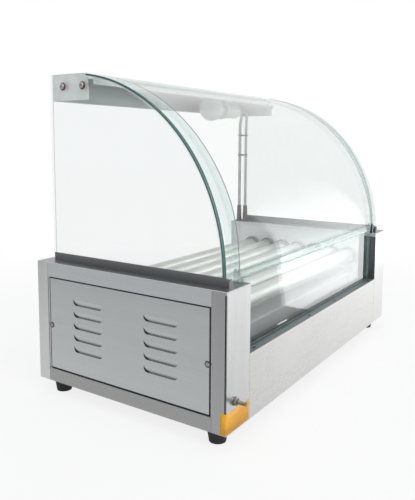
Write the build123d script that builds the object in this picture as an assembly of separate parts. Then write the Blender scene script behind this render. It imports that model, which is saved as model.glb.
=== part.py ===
from build123d import *
from math import asin, atan2, copysign, cos, degrees, pi, radians, sin, sqrt, tan
import os

# Roller grill with a glass hood, in millimetres, +Z up.
# X runs along the rollers and -Y is the side with the curved glass.
# The origin is midway between the ends and between the long sides, at the bottom of the feet.

# Body
body_length = 580.0
body_depth = 314.0
body_height = 170.0
foot_height = 20.0
sheet = 1.0
bend_radius = 0.8
seam = 0.3
housing_width = 54.0
corner_width = 20.0
jamb_depth = 22.0
top_rail_height = 20.0
bottom_rail_height = 18.0
cover_lip = 6.0
rail_return = 8.0
pan_flange = 10.0
pan_inset = 1.1
pan_corner = 3.0
pan_slot_rows = 7
pan_slot_pitch = 16.0
pan_slot_x = 140.0
pan_slot_length = 40.0
pan_slot_width = 5.0
tab_width = 12.0
panel_side_gap = 2.6
panel_end_gap = 1.0
panel_recess = 1.0
front_panel_height = 83.5
control_panel_height = 66.0
ledge_depth = 16.0
ledge_lip = 12.0
wall_foot = 11.0
fit_gap = 0.1

# Rollers and chain drive
roller_count = 7
roller_radius = 12.7
roller_wall = 1.2
roller_axis_height = 144.0
tube_overhang = 6.0
chain_pitch = 9.525
top_run_pitches = 22
side_run_pitches = 14
end_wrap_pitches = 3
motor_wrap_pitches = 2
sprocket_teeth = 8
chain_roller_radius = 2.54
tooth_width = 4.3
tooth_tip = 1.8
seat_width_clearance = 0.36
seat_depth_clearance = 0.1
plate_thickness = 1.25
plate_gap = 0.2
plate_radius = 3.8
journal_radius = 7.5
journal_bore_radius = 5.5
running_clearance = 0.05
wall_hole_clearance = 0.5
plug_length = 6.0
ring_gap = 0.925
ring_thickness = 4.0
chain_plane_inset = 20.0
element_radius = 4.0
bracket_inset = 32.0
bracket_sheet = 1.2
bracket_half_height = 15.0
bracket_clearance = 7.0
bracket_tab = 9.0
notch_clearance = 0.1
element_overhang = 4.0
motor_radius = 27.0
motor_length = 45.0
gearbox_length = 20.0
gearbox_half = 29.0
gearbox_chamfer = 6.0
motor_boss_radius = 8.0
motor_boss_length = 4.0
motor_shaft_radius = 3.5
motor_shaft_offset = 5.5
motor_shaft_bearing = 17.0
shaft_end_gap = 0.5

# Drip tray
tray_floor_height = 90.0
tray_rim_height = 119.0
tray_side_gap = 6.5
tray_front_setback = 47.0
tray_rear_setback = 5.0
tray_flange = 12.0
tray_side_flange = 4.5
tray_rim_stop = 26.0
tray_corner = 6.0
grip_inset = 20.0
grip_depth = 11.0
grip_drop = 8.0
guide_clearance = 0.3
guide_drop = 10.0
guide_overhang = 8.0

# Hood
glass = 5.0
glass_clearance = 0.2
glass_chamfer = 0.5
hood_setback = 11.0
side_glass_inset = 23.5
side_glass_radius = 250.0
side_glass_rise = 8.0
channel_sheet = 1.2
channel_outer_leg = 15.0
channel_inner_leg = 9.0
channel_overhang = 8.0
channel_rear_gap = 3.0
channel_nose = 8.0
curved_glass_inset = 43.0
curved_glass_radius = 256.0
curved_glass_foot_gap = 13.0
curved_glass_lap = 5.0
lower_glass_rise = 6.0
clip_width = 6.0
clip_leg = 4.0
clip_wall = 1.8
clip_corner = 1.0
clip_overhang = 0.5
clip_slot_angle = 8.0
roof_overlap = 32.0
roof_step = 6.0
roof_drop = 36.0
roof_ledge = 16.0
roof_lip = 7.0
roof_return = 8.0

# Lamp
bulb_radius = 22.5
bulb_shoulder_radius = 15.0
bulb_rings = 7
bulb_neck_radius = 12.5
bulb_neck_length = 38.0
bulb_cap_depth = 8.0
bulb_x = 88.0
lamp_setback = 33.0
lamp_drop = 29.0
socket_clearance = 0.3
holder_radius = 15.0
holder_length = 52.0
holder_ring_radius = 18.0
holder_ring_length = 7.0
cable_entry = 8.0
strap_offset = 14.0
strap_length = 20.0
strap_width = 12.0
strap_foot_width = 40.0
strap_foot_height = 2.0
lamp_cable_radius = 2.75
cable_inset = 44.5
cable_setback = 17.0
cable_bend_length = 28.0
cable_bend_offset = 6.0
cable_bend_side = 5.0
cable_bend_drop = 9.0
cable_drop = 36.0
cable_bore_clearance = 0.15
sleeve_height = 34.0
sleeve_foot = 5.2
sleeve_tip = 4.2
grommet_neck = 5.5
grommet_flange = 7.5
grommet_flange_height = 2.5
terminal_height = 14.0
terminal_depth = 16.0
terminal_reach = 14.0
terminal_overlap = 5.0
wire_slot_width = 4.0
wire_slot_height = 5.0
wire_slot_depth = 6.0

# Small parts
foot_radius = 14.0
foot_tip_radius = 10.5
foot_inset_x = 22.0
foot_inset_y = 25.0
stud_radius = 2.5
stud_length = 16.0
stud_tail = 4.0
stud_washer = 5.5
stud_washer_height = 1.0
stud_nut = 4.6
stud_nut_height = 4.0
stud_back_nut_height = 3.0
stud_height = 57.0
stud_inset = 18.0
thermostat_width = 34.0
thermostat_height = 40.0
thermostat_depth = 24.0
spindle_radius = 3.0
spindle_end_gap = 0.5
spindle_hole_gap = 2.0
knob_radius = 19.0
knob_grip = 14.0
knob_crown = 12.0
knob_height = 15.0
knob_skirt = 3.0
knob_shoulder = 5.0
knob_ridge = 5.0
knob_gap = 0.5
knob_cover = 4.0
knob_spacing = 220.0
indicator_offset = 34.0
lamp_body_radius = 4.0
lamp_rim_radius = 6.0
lamp_dome = 4.0
lamp_depth = 16.0
rocker_width = 13.0
rocker_length = 19.0
rocker_crown = 4.0
rocker_shoulder = 1.5
rocker_back = 5.5
rocker_heel = 7.0
rocker_taper = 1.0
rocker_tilt = 8.0
rocker_spacing = 44.0
rocker_pivot_radius = 1.0
rocker_pivot_depth = 2.0
rocker_pivot_reach = 1.2
rocker_end_gap = 0.4
switch_wall = 1.2
switch_gap = 0.3
switch_depth = 20.0
switch_well = 12.0
bezel_width = 1.5
bezel_height = 2.0
panel_hole_gap = 0.1
gland_bore_radius = 4.2
gland_shank_radius = 7.7
gland_flange_radius = 11.1
gland_flange_height = 4.0
gland_dome_radius = 9.5
gland_mouth_radius = 6.5
gland_dome_height = 9.0
gland_nut_radius = 10.7
gland_nut_height = 5.0
gland_thread = 8.0
gland_x = 205.0
gland_rise = 24.0

# Louvres
louvre_length = 53.0
louvre_height = 8.0
louvre_depth = 4.2
louvre_slope = 2.2
louvre_knee = 2.5
louvre_knee_height = 3.6
louvre_end = 7.0
louvre_rows = 5
louvre_row_pitch = 16.4
louvre_column_offset = 61.5
louvre_drop = 1.0

# Worked out from the sizes above
half_length = body_length / 2
half_depth = body_depth / 2
bottom = foot_height
top = foot_height + body_height
wall_x = half_length - housing_width
cover_bottom = top - sheet
ledge_height = bottom + front_panel_height
control_top = bottom + control_panel_height
pitches_per_roller = top_run_pitches / (roller_count - 1)
roller_pitch = pitches_per_roller * chain_pitch
roller_ys = [(roller_count - 1) * roller_pitch / 2 - i * roller_pitch for i in range(roller_count)]
tooth_angle = 360 / sprocket_teeth
pitch_radius = chain_pitch / 2 / sin(radians(tooth_angle / 2))
sprocket_radius = chain_pitch * (0.6 + 1 / tan(radians(tooth_angle / 2))) / 2
chain_x = -(wall_x + chain_plane_inset)
ring_radius = (roller_pitch - ring_gap) / 2
tray_half = wall_x - tray_side_gap
tray_front = half_depth - tray_front_setback
tray_rear = half_depth - tray_rear_setback
side_glass_x = half_length - side_glass_inset
side_glass_top = top + side_glass_rise + side_glass_radius
side_glass_rear = half_depth - hood_setback
curved_glass_half = half_length - curved_glass_inset
curve_y = curved_glass_radius + hood_setback - half_depth
curve_z = side_glass_top - curved_glass_radius
roof_front_y = curve_y - roof_overlap
lamp_y = side_glass_rear - lamp_setback
lamp_z = side_glass_top - lamp_drop
panel_bottom = bottom + bottom_rail_height
panel_top = top - top_rail_height
louvre_middle_z = (panel_bottom + panel_top) / 2 - louvre_drop
bulb_end = bulb_x + bulb_neck_length
holder_mouth = bulb_end - bulb_cap_depth
holder_back = holder_mouth + holder_length
cable_foot_x = half_length - cable_inset
cable_foot_y = side_glass_rear - cable_setback
terminal_top = top - terminal_height
controls_z = bottom + control_panel_height / 2
rocker_pivot_y = half_depth - rocker_pivot_depth
gland_z = bottom + gland_rise


def block(x0, x1, y0, y1, z0, z1):
    """Box between two corners."""
    centre = Pos((x0 + x1) / 2, (y0 + y1) / 2, (z0 + z1) / 2)
    return centre * Box(abs(x1 - x0), abs(y1 - y0), abs(z1 - z0))


def rod_x(x0, x1, y, z, radius):
    return Pos((x0 + x1) / 2, y, z) * Rot(0, 90, 0) * Cylinder(radius, abs(x1 - x0))


def rod_y(x, y0, y1, z, radius):
    return Pos(x, (y0 + y1) / 2, z) * Rot(90, 0, 0) * Cylinder(radius, abs(y1 - y0))


def rod_z(x, y, z0, z1, radius):
    return Pos(x, y, (z0 + z1) / 2) * Cylinder(radius, abs(z1 - z0))


def hex_y(x, y0, y1, z, radius):
    """Hexagonal nut or flange along Y."""
    flat = Plane(origin=(x, y0, z), x_dir=(1, 0, 0), z_dir=(0, 1, 0))
    return extrude(flat * RegularPolygon(radius, 6), y1 - y0)


def mirrored_x(part):
    return mirror(part, about=Plane.YZ)


def offset_line(points, distance):
    """Points of a bent line moved sideways, to the left of its direction."""
    normals = []
    for (x0, y0), (x1, y1) in zip(points, points[1:]):
        length = sqrt((x1 - x0) ** 2 + (y1 - y0) ** 2)
        normals.append((-(y1 - y0) / length, (x1 - x0) / length))
    moved = [(points[0][0] + distance * normals[0][0], points[0][1] + distance * normals[0][1])]
    for (x, y), n, m in zip(points[1:], normals, normals[1:]):
        share = distance / (1 + n[0] * m[0] + n[1] * m[1])
        moved.append((x + share * (n[0] + m[0]), y + share * (n[1] + m[1])))
    last = normals[-1]
    moved.append((points[-1][0] + distance * last[0], points[-1][1] + distance * last[1]))
    return moved


def folded(points, thickness=sheet, radius=bend_radius):
    """Section of a folded sheet: the outer line, and the inner line to its left."""
    inner = offset_line(points, thickness)
    face = make_face(Polyline(*points, *reversed(inner), close=True))
    corners = points[1:-1]
    outer = [v for v in face.vertices() if any(abs(v.X - x) + abs(v.Y - y) < 1e-4 for x, y in corners)]
    return fillet(outer, radius) if radius > 0 else face


def along_x(face, x0, x1):
    """Extrude a section drawn in (Y, Z) from x0 to x1."""
    return extrude(Plane(origin=(x0, 0, 0), x_dir=(0, 1, 0), z_dir=(1, 0, 0)) * face, x1 - x0)


def along_y(face, y0, y1):
    """Extrude a section drawn in (X, Z) from y0 to y1."""
    plane = Plane(origin=(0, y1, 0), x_dir=(1, 0, 0), z_dir=(0, -1, 0))
    return extrude(plane * face, y1 - y0)


def along_z(face, z0, z1):
    return extrude(Plane(origin=(0, 0, z0)) * face, z1 - z0)


def revolved_x(points, y, z):
    """Revolve an outline of (x, radius) points about an axis along X."""
    face = make_face(Polyline(*[(x, r) for x, r in points], close=True))
    return Pos(0, y, z) * revolve(Plane.XY * face, axis=Axis.X)


def revolved_y(points, x, z):
    """Revolve an outline of (radius, y) points about an axis along Y."""
    face = make_face(Polyline(*points, close=True))
    return Pos(x, 0, z) * revolve(Plane.XY * face, axis=Axis.Y)


def revolved_z(points, x, y):
    """Revolve an outline of (radius, z) points about an axis along Z."""
    face = make_face(Polyline(*points, close=True))
    return Pos(x, y, 0) * revolve(Plane.XZ * face, axis=Axis.Z)


# Body shell

def base_pan():
    """Tray-shaped bottom with two fields of air slots."""
    tub = block(-half_length + pan_inset, half_length - pan_inset, -half_depth + pan_inset,
                half_depth - pan_inset, bottom, bottom + sheet + pan_flange)
    tub = fillet(tub.edges().filter_by(Axis.Z), pan_corner)
    pan = offset(tub, amount=-sheet, openings=tub.faces().sort_by(Axis.Z)[-1])
    for row in range(pan_slot_rows):
        y = (row - (pan_slot_rows - 1) / 2) * pan_slot_pitch
        for x in (-pan_slot_x, pan_slot_x):
            pan -= block(x - pan_slot_length / 2, x + pan_slot_length / 2, y - pan_slot_width / 2,
                         y + pan_slot_width / 2, bottom - 1, bottom + sheet + 1)
    return pan


def foot_places():
    x = half_length - foot_inset_x
    y = half_depth - foot_inset_y
    return [(-x, -y), (x, -y), (-x, y), (x, y)]


def corner_post():
    """Post at the near end of the front, as a folded sheet that wraps the corner."""
    x0 = -half_length
    y0 = -half_depth
    tab_x = x0 + panel_recess + sheet
    line = [(tab_x, y0 + corner_width + tab_width), (tab_x, y0 + corner_width), (x0, y0 + corner_width),
            (x0, y0), (-wall_x, y0), (-wall_x, y0 + jamb_depth)]
    post = along_z(folded(line, radius=0), bottom, cover_bottom - fit_gap)
    post -= block(x0 + sheet, tab_x + 2 * sheet, y0 + corner_width - 2 * sheet,
                  y0 + corner_width + tab_width + 1, bottom - 1, panel_bottom + seam)
    return post - block(x0 + sheet, -wall_x + 1, y0 + sheet, y0 + jamb_depth + 1, bottom - 1,
                        bottom + sheet + pan_flange + seam)


def top_cover():
    """Cover of the near end housing: plate, outer skirt between the posts and inner lip."""
    x_lip = -wall_x + sheet
    line = [(x_lip, top - cover_lip), (x_lip, top), (-half_length, top), (-half_length, panel_top)]
    cover = along_y(folded(line), -half_depth, half_depth)
    post_end = half_depth - corner_width - seam
    for side in (-1, 1):
        y0, y1 = sorted((side * post_end, side * (half_depth + 1)))
        cover -= block(-half_length - 1, -half_length + 3, y0, y1, top - top_rail_height - 1, cover_bottom)
    return cover


def bottom_rail():
    """Rail under the service panel of the near end."""
    line = [(-half_length + rail_return, panel_bottom), (-half_length, panel_bottom), (-half_length, bottom)]
    y = half_depth - corner_width - seam
    return along_y(folded(line), -y, y)


def louvre_outline(y, z, rise):
    """Cut of one louvre in (Y, Z): flat below, with ends that turn up to the fold, and rise above it."""
    half = louvre_length / 2
    edge = [(half, louvre_height + rise), (half, louvre_height), (half - louvre_knee, louvre_knee_height),
            (half - louvre_end, 0)]
    points = [(y + d, z + h) for d, h in edge] + [(y - d, z + h) for d, h in reversed(edge)]
    return make_face(Polyline(*points, close=True))


def louvre_flap(y, z):
    """Tongue of the panel's sheet, folded inwards along its top and hanging behind the panel."""
    face_x = -half_length + panel_recess
    deep_x = face_x + louvre_depth
    fold_z = z + louvre_height
    line = [(face_x, fold_z), (deep_x, fold_z - louvre_slope), (deep_x, z)]
    tongue = along_y(folded(line, radius=0), y - louvre_length / 2, y + louvre_length / 2)
    return tongue & along_x(louvre_outline(y, z, 2 * sheet), face_x, deep_x + sheet)


def service_panel():
    """Panel of the near end, with two columns of louvres folded inwards."""
    x0 = -half_length + panel_recess
    y = half_depth - corner_width - panel_side_gap
    panel = block(x0, x0 + sheet, -y, y, panel_bottom + panel_end_gap, panel_top - panel_end_gap)
    for row in range(louvre_rows):
        z = louvre_middle_z + (row - (louvre_rows - 1) / 2) * louvre_row_pitch
        for louvre_y in (-louvre_column_offset, louvre_column_offset):
            panel -= along_x(louvre_outline(louvre_y, z, 0.01), x0 - 1, x0 + sheet + 1)
            panel += louvre_flap(louvre_y, z)
    return panel


def inner_wall():
    """Wall between the near housing and the cooking space."""
    y = half_depth - jamb_depth - seam
    foot = bottom + sheet
    line = [(-wall_x - wall_foot, foot), (-wall_x, foot), (-wall_x, cover_bottom - fit_gap)]
    wall = along_y(folded(line), -y, y)
    hole = roller_radius + wall_hole_clearance
    for roller_y in roller_ys:
        wall -= rod_x(-wall_x - 3, -wall_x + 3, roller_y, roller_axis_height, hole)
    return wall


def tray_guide():
    """Angle strip on the near inner wall that the drip tray's rim slides on."""
    guide_top = tray_rim_height - sheet - guide_clearance
    guide_rear = half_depth - jamb_depth - guide_overhang
    line = [(-tray_half - guide_clearance, guide_top), (-wall_x, guide_top),
            (-wall_x, guide_top - guide_drop)]
    return along_y(folded(line, radius=0), -tray_front - guide_overhang, guide_rear)


def front_panel():
    """Plain panel under the lower pane, with the ledge that the pane stands on."""
    line = [(-half_depth + ledge_depth, ledge_height - ledge_lip), (-half_depth + ledge_depth, ledge_height),
            (-half_depth, ledge_height), (-half_depth, bottom)]
    return along_x(folded(line), -wall_x + seam, wall_x - seam)


def control_panel():
    """Panel of the operator side, with its holes for knobs, switches, lamps and the cord."""
    line = [(half_depth, bottom), (half_depth, control_top), (half_depth - ledge_depth, control_top),
            (half_depth - ledge_depth, control_top - ledge_lip)]
    panel = along_x(folded(line), -wall_x + seam, wall_x - seam)
    y0 = half_depth - 2 * sheet
    y1 = half_depth + 1
    for x in knob_xs():
        panel -= rod_y(x, y0, y1, controls_z, spindle_radius + spindle_hole_gap)
    for x in indicator_xs():
        panel -= rod_y(x, y0, y1, controls_z, lamp_body_radius + panel_hole_gap)
    half_w, half_l = switch_halves()
    for x in rocker_xs():
        panel -= block(x - half_w - panel_hole_gap, x + half_w + panel_hole_gap, y0, y1,
                       controls_z - half_l - panel_hole_gap, controls_z + half_l + panel_hole_gap)
    return panel - rod_y(gland_x, y0, y1, gland_z, gland_shank_radius + panel_hole_gap)


# Rollers and drive

def roller(y):
    """Tube with a turned journal plugged into its drive end, open at the other end for the element."""
    tube_end = wall_x + tube_overhang
    drive_end = -(wall_x + chain_plane_inset + tooth_width / 2 + 1)
    bore = roller_radius - roller_wall
    plug_end = -tube_end + plug_length
    outline = [(-tube_end, journal_radius), (-tube_end, roller_radius), (tube_end, roller_radius),
               (tube_end, bore), (plug_end, bore), (plug_end, journal_bore_radius),
               (drive_end, journal_bore_radius), (drive_end, journal_radius)]
    return revolved_x(outline, y, roller_axis_height)


def bearing_rings():
    """Pale bearing ring round each end of each roller, against the inner wall."""
    inner = roller_radius + running_clearance
    x0 = wall_x - ring_thickness
    outline = [(x0, inner), (x0, ring_radius), (wall_x, ring_radius), (wall_x, inner)]
    rings = []
    for y in roller_ys:
        ring = revolved_x(outline, y, roller_axis_height)
        rings += [ring, mirrored_x(ring)]
    return rings


def tooth_gap():
    """Half outline of the space between two teeth, at the top of the sprocket: (side, height) points."""
    half_pitch = pi * sprocket_radius / sprocket_teeth
    seat = chain_roller_radius + seat_width_clearance
    root = pitch_radius - chain_roller_radius - seat_depth_clearance
    return [(half_pitch - tooth_tip / 2, sprocket_radius), (seat, pitch_radius), (0.6 * seat, root)]


def sprocket(y, z, turn, bore):
    """Flat toothed wheel, its outline a closed line round all the teeth; turn is from the top."""
    side = tooth_gap()
    gap = side + [(-s, h) for s, h in reversed(side)]
    points = []
    for i in range(sprocket_teeth):
        a = radians(turn - i * tooth_angle)
        points += [(s * cos(a) - h * sin(a), s * sin(a) + h * cos(a)) for s, h in reversed(gap)]
    face = make_face(Polyline(*points, close=True)) - Circle(bore)
    return Pos(chain_x - tooth_width / 2, y, z) * extrude(Plane.YZ * face, tooth_width)


def roller_turn(index):
    """Turn that sets a roller's sprocket to the chain: the part of a tooth left over along the top run."""
    shift = ((roller_count - 1 - index) * pitches_per_roller) % 1
    return shift * tooth_angle


def motor_axis():
    """Height of the motor sprocket, from the length of the chain's slanting runs."""
    end_y = roller_ys[0]
    last = radians(90 - end_wrap_pitches * tooth_angle)
    first = radians(-90 + motor_wrap_pitches * tooth_angle / 2)
    across = end_y + pitch_radius * (cos(last) - cos(first))
    run = side_run_pitches * chain_pitch
    rise = sqrt(run ** 2 - across ** 2) - pitch_radius * (sin(last) - sin(first))
    return roller_axis_height - rise


def chain_pins():
    """Pin places (Y, Z) round the loop, one chain pitch apart."""
    end_y = roller_ys[0]
    motor_z = motor_axis()
    pins = [(-end_y + i * chain_pitch, roller_axis_height + pitch_radius) for i in range(top_run_pitches)]
    for i in range(end_wrap_pitches + 1):
        a = radians(90 - i * tooth_angle)
        pins.append((end_y + pitch_radius * cos(a), roller_axis_height + pitch_radius * sin(a)))
    y0, z0 = pins[-1]
    wrap = []
    for i in range(motor_wrap_pitches + 1):
        a = radians(-90 + (motor_wrap_pitches / 2 - i) * tooth_angle)
        wrap.append((pitch_radius * cos(a), motor_z + pitch_radius * sin(a)))
    y1, z1 = wrap[0]
    for i in range(1, side_run_pitches):
        share = i / side_run_pitches
        pins.append((y0 + share * (y1 - y0), z0 + share * (z1 - z0)))
    far_side = [(-y, z) for y, z in reversed(pins[top_run_pitches + 1:])]
    return pins + wrap + far_side


def link_plate(a, b):
    """Six-sided side plate of one link, between the pins a and b."""
    turn = degrees(atan2(b[1] - a[1], b[0] - a[0]))
    points = []
    for centre, base in ((a, 180), (b, 0)):
        for spread in (-75, 0, 75):
            angle = radians(turn + base + spread)
            points.append((centre[0] + plate_radius * cos(angle), centre[1] + plate_radius * sin(angle)))
    return make_face(Polyline(*points, close=True))


def drive_chain():
    """Closed loop of inner and outer links with their rollers, in mesh with the sprockets."""
    pins = chain_pins()
    inner = tooth_width / 2 + plate_gap
    links = []
    for i, pin in enumerate(pins):
        plate = link_plate(pin, pins[(i + 1) % len(pins)])
        x0 = inner + plate_thickness * (i % 2)
        links.append(along_x(plate, chain_x + x0, chain_x + x0 + plate_thickness))
        links.append(along_x(plate, chain_x - x0 - plate_thickness, chain_x - x0))
        chain_roller = Pos(*pin) * RegularPolygon(chain_roller_radius, 6)
        links.append(along_x(chain_roller, chain_x - inner, chain_x + inner))
    return links


def motor_shaft():
    x0 = chain_x - tooth_width / 2 - 1
    return rod_x(x0, -wall_x + motor_shaft_bearing, 0, motor_axis(), motor_shaft_radius)


def gearmotor():
    """Gearbox on the near inner wall, under the tray, with its motor behind and its shaft boss through."""
    shaft_z = motor_axis()
    z = shaft_z - motor_shaft_offset
    x0 = -wall_x
    x1 = x0 + gearbox_length
    gearbox = block(x0, x1, -gearbox_half, gearbox_half, z - gearbox_half, z + gearbox_half)
    gearbox = chamfer(gearbox.edges().filter_by(Axis.X), gearbox_chamfer)
    motor = rod_x(x1, x1 + motor_length, 0, z, motor_radius)
    boss_end = x0 - sheet - motor_boss_length
    boss = rod_x(boss_end, x0, 0, shaft_z, motor_boss_radius)
    bore = rod_x(boss_end - 1, x0 + motor_shaft_bearing + shaft_end_gap, 0, shaft_z,
                 motor_shaft_radius + running_clearance)
    return gearbox + motor + boss - bore


def heating_elements():
    """Straight rod element through each roller."""
    rod_end = wall_x + bracket_inset + bracket_sheet + element_overhang
    return [rod_x(-rod_end, rod_end, y, roller_axis_height, element_radius) for y in roller_ys]


def element_bracket():
    """Folded comb on two legs from the inner wall; the element rods lie in its notches."""
    x = -(wall_x + bracket_inset)
    reach = roller_ys[0] + sprocket_radius + bracket_clearance
    wall = -wall_x - sheet
    line = [(wall, -reach - bracket_tab), (wall, -reach), (x, -reach), (x, reach), (wall, reach),
            (wall, reach + bracket_tab)]
    z0 = roller_axis_height - bracket_half_height
    z1 = roller_axis_height + bracket_half_height
    comb = along_z(folded(line, thickness=bracket_sheet, radius=0), z0, z1)
    notch = element_radius + notch_clearance
    for y in roller_ys:
        comb -= block(x - 3, x + 3, y - notch, y + notch, roller_axis_height - element_radius, z1 + 1)
    return comb


# Drip tray

def drip_tray():
    """Pan with a rim that runs on the guides, and a folded grip on the operator side."""
    tub = block(-tray_half, tray_half, -tray_front, tray_rear, tray_floor_height, tray_rim_height)
    tub = fillet(tub.edges().filter_by(Axis.Z), tray_corner)
    pan = offset(tub, amount=-sheet, openings=tub.faces().sort_by(Axis.Z)[-1])
    side = tray_half + tray_side_flange
    rim = block(-side, side, -tray_front - tray_flange, tray_rear - tray_rim_stop, tray_rim_height - sheet,
                tray_rim_height)
    hole = block(-tray_half + sheet, tray_half - sheet, -tray_front + sheet, tray_rear,
                 tray_rim_height - 2 * sheet, tray_rim_height + 1)
    hole = fillet(hole.edges().filter_by(Axis.Z), tray_corner - sheet)
    grip_y = tray_rear + grip_depth
    line = [(grip_y, tray_rim_height - grip_drop), (grip_y, tray_rim_height),
            (tray_rear - sheet, tray_rim_height)]
    grip = along_x(folded(line), -tray_half + grip_inset, tray_half - grip_inset)
    return pan + (rim - hole) + grip


# Hood

def side_pane():
    """Quarter-round pane of the near end, standing in its channel."""
    z0 = top + channel_sheet
    y_front = curve_y - side_glass_radius
    arc_z = side_glass_top - side_glass_radius
    middle = side_glass_radius * cos(pi / 4)
    outline = [
        Line((side_glass_rear, z0), (side_glass_rear, side_glass_top)),
        Line((side_glass_rear, side_glass_top), (curve_y, side_glass_top)),
        ThreePointArc((curve_y, side_glass_top), (curve_y - middle, arc_z + middle), (y_front, arc_z)),
        Line((y_front, arc_z), (y_front, z0)),
        Line((y_front, z0), (side_glass_rear, z0)),
    ]
    return along_x(make_face(outline), -side_glass_x - glass / 2, -side_glass_x + glass / 2)


def glass_channel():
    """Folded channel on the near cover: tall outer leg with a rounded front end, low inner leg."""
    outer_x = -side_glass_x - glass / 2 - glass_clearance - channel_sheet
    inner_x = -side_glass_x + glass / 2 + glass_clearance + channel_sheet
    line = [(inner_x, top + channel_inner_leg), (inner_x, top), (outer_x, top),
            (outer_x, top + channel_outer_leg)]
    y0 = curve_y - side_glass_radius - channel_overhang
    section = folded(list(reversed(line)), thickness=channel_sheet)
    channel = along_y(section, y0, side_glass_rear - channel_rear_gap)
    nose = channel.edges().filter_by(Axis.X).group_by(Axis.Z)[-1].sort_by(Axis.Y)[0]
    return fillet(nose, channel_nose)


def arc_ring(radius, thickness, start, end):
    """Ring segment in (Y, Z) about the curved pane's centre, angles in degrees from +Y."""
    def at(r, angle):
        return (curve_y + r * cos(radians(angle)), curve_z + r * sin(radians(angle)))
    middle = (start + end) / 2
    inner = radius - thickness
    return make_face([
        ThreePointArc(at(radius, start), at(radius, middle), at(radius, end)),
        Line(at(radius, end), at(inner, end)),
        ThreePointArc(at(inner, end), at(inner, middle), at(inner, start)),
        Line(at(inner, start), at(radius, start)),
    ])


def curve_angle_at_y(y, radius):
    return 180 - degrees(atan2(sqrt(radius ** 2 - (curve_y - y) ** 2), curve_y - y))


def curved_foot_angle():
    inner = curved_glass_radius - glass
    rise = curve_z - (top + curved_glass_foot_gap)
    return 180 - degrees(atan2(-rise, sqrt(inner ** 2 - rise ** 2)))


def curved_pane():
    end = curve_angle_at_y(roof_front_y + curved_glass_lap, curved_glass_radius)
    ring = arc_ring(curved_glass_radius, glass, curved_foot_angle(), end)
    return along_x(ring, -curved_glass_half, curved_glass_half)


def lower_pane():
    y1 = curve_y - curved_glass_radius + glass
    half = wall_x - 2 * sheet
    pane = block(-half, half, y1 - glass, y1, ledge_height, top + lower_glass_rise)
    return chamfer(pane.edges().filter_by(Axis.X), glass_chamfer)


def glass_clip():
    """Block on the near cover with a slot for the curved pane's lower corner."""
    y1 = curve_y - curved_glass_radius
    x0 = -curved_glass_half - clip_overhang
    clip_top = top + curved_glass_foot_gap + clip_leg
    body = block(x0, x0 + clip_width, y1 - clip_wall, y1 + glass + clip_wall, top, clip_top)
    body = fillet(body.edges().filter_by(Axis.X).group_by(Axis.Z)[-1], clip_corner)
    foot = curved_foot_angle()
    slot = arc_ring(curved_glass_radius + glass_clearance, glass + 2 * glass_clearance, foot,
                    foot - clip_slot_angle)
    return body - along_x(slot, x0 - 1, x0 + clip_width + 1)


def roof_bar():
    """Folded bar with a sloping ledge for the curved pane, a rear plate and two end tabs."""
    seat = curved_glass_radius - glass - glass_clearance
    def on_seat(y):
        return curve_z + sqrt(seat ** 2 - (curve_y - y) ** 2)
    y_step = roof_front_y + roof_step
    y_nose = y_step - roof_ledge
    z_rear = side_glass_top - roof_drop
    line = [(y_nose, on_seat(y_nose) - roof_lip), (y_nose, on_seat(y_nose)), (y_step, on_seat(y_step)),
            (y_step, side_glass_top), (side_glass_rear, side_glass_top), (side_glass_rear, z_rear),
            (side_glass_rear - roof_return, z_rear)]
    tab_x = side_glass_x - glass / 2 - glass_clearance
    bar = along_x(folded([(y, z) for y, z in reversed(line)]), -tab_x, tab_x)
    tab = block(-tab_x, -tab_x + sheet, roof_front_y, side_glass_rear - sheet / 2, z_rear + sheet / 2,
                side_glass_top - sheet / 2)
    return bar + tab + mirrored_x(tab)


# Lamp

def lamp_bulb():
    """Globe bulb pointing along -X, in equal steps of angle, with its neck in the holder."""
    turn = pi - asin(bulb_shoulder_radius / bulb_radius)
    angles = [pi - i * turn / bulb_rings for i in range(bulb_rings + 1)]
    globe = [(bulb_x + bulb_radius * cos(a), bulb_radius * sin(a)) for a in angles[1:]]
    neck = [(holder_mouth, bulb_neck_radius), (bulb_end, bulb_neck_radius), (bulb_end, 0)]
    return revolved_x([(bulb_x - bulb_radius, 0)] + globe + neck, lamp_y, lamp_z)


def lamp_holder():
    """Holder with a ring at its mouth and a strap up to the roof bar."""
    socket = bulb_neck_radius + socket_clearance
    cable = lamp_cable_radius + cable_bore_clearance
    floor_x = bulb_end + socket_clearance
    ring_end = holder_mouth + holder_ring_length
    entry_x = holder_back - cable_entry
    outline = [(holder_mouth, socket), (holder_mouth, holder_ring_radius), (ring_end, holder_ring_radius),
               (ring_end, holder_radius), (holder_back, holder_radius), (holder_back, cable),
               (entry_x, cable), (entry_x, 0), (floor_x, 0), (floor_x, socket)]
    holder = revolved_x(outline, lamp_y, lamp_z)
    x0 = holder_mouth + strap_offset
    x1 = x0 + strap_length
    strap_top = side_glass_top - sheet
    strap = block(x0, x1, lamp_y - strap_width / 2, lamp_y + strap_width / 2,
                  lamp_z + holder_radius - strap_foot_height, strap_top)
    strap += block(x0, x1, lamp_y - strap_foot_width / 2, lamp_y + strap_foot_width / 2,
                   strap_top - strap_foot_height, strap_top)
    return holder + strap


def lamp_cable_route():
    """From the holder's back, round a loose bend and straight down into the far housing."""
    bend_x = cable_foot_x - cable_bend_offset
    return [(holder_back - cable_entry, lamp_y, lamp_z), (cable_foot_x - cable_bend_length, lamp_y, lamp_z),
            (bend_x, cable_foot_y - cable_bend_side, lamp_z - cable_bend_drop),
            (cable_foot_x, cable_foot_y, lamp_z - cable_drop),
            (cable_foot_x, cable_foot_y, terminal_top)]


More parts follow.
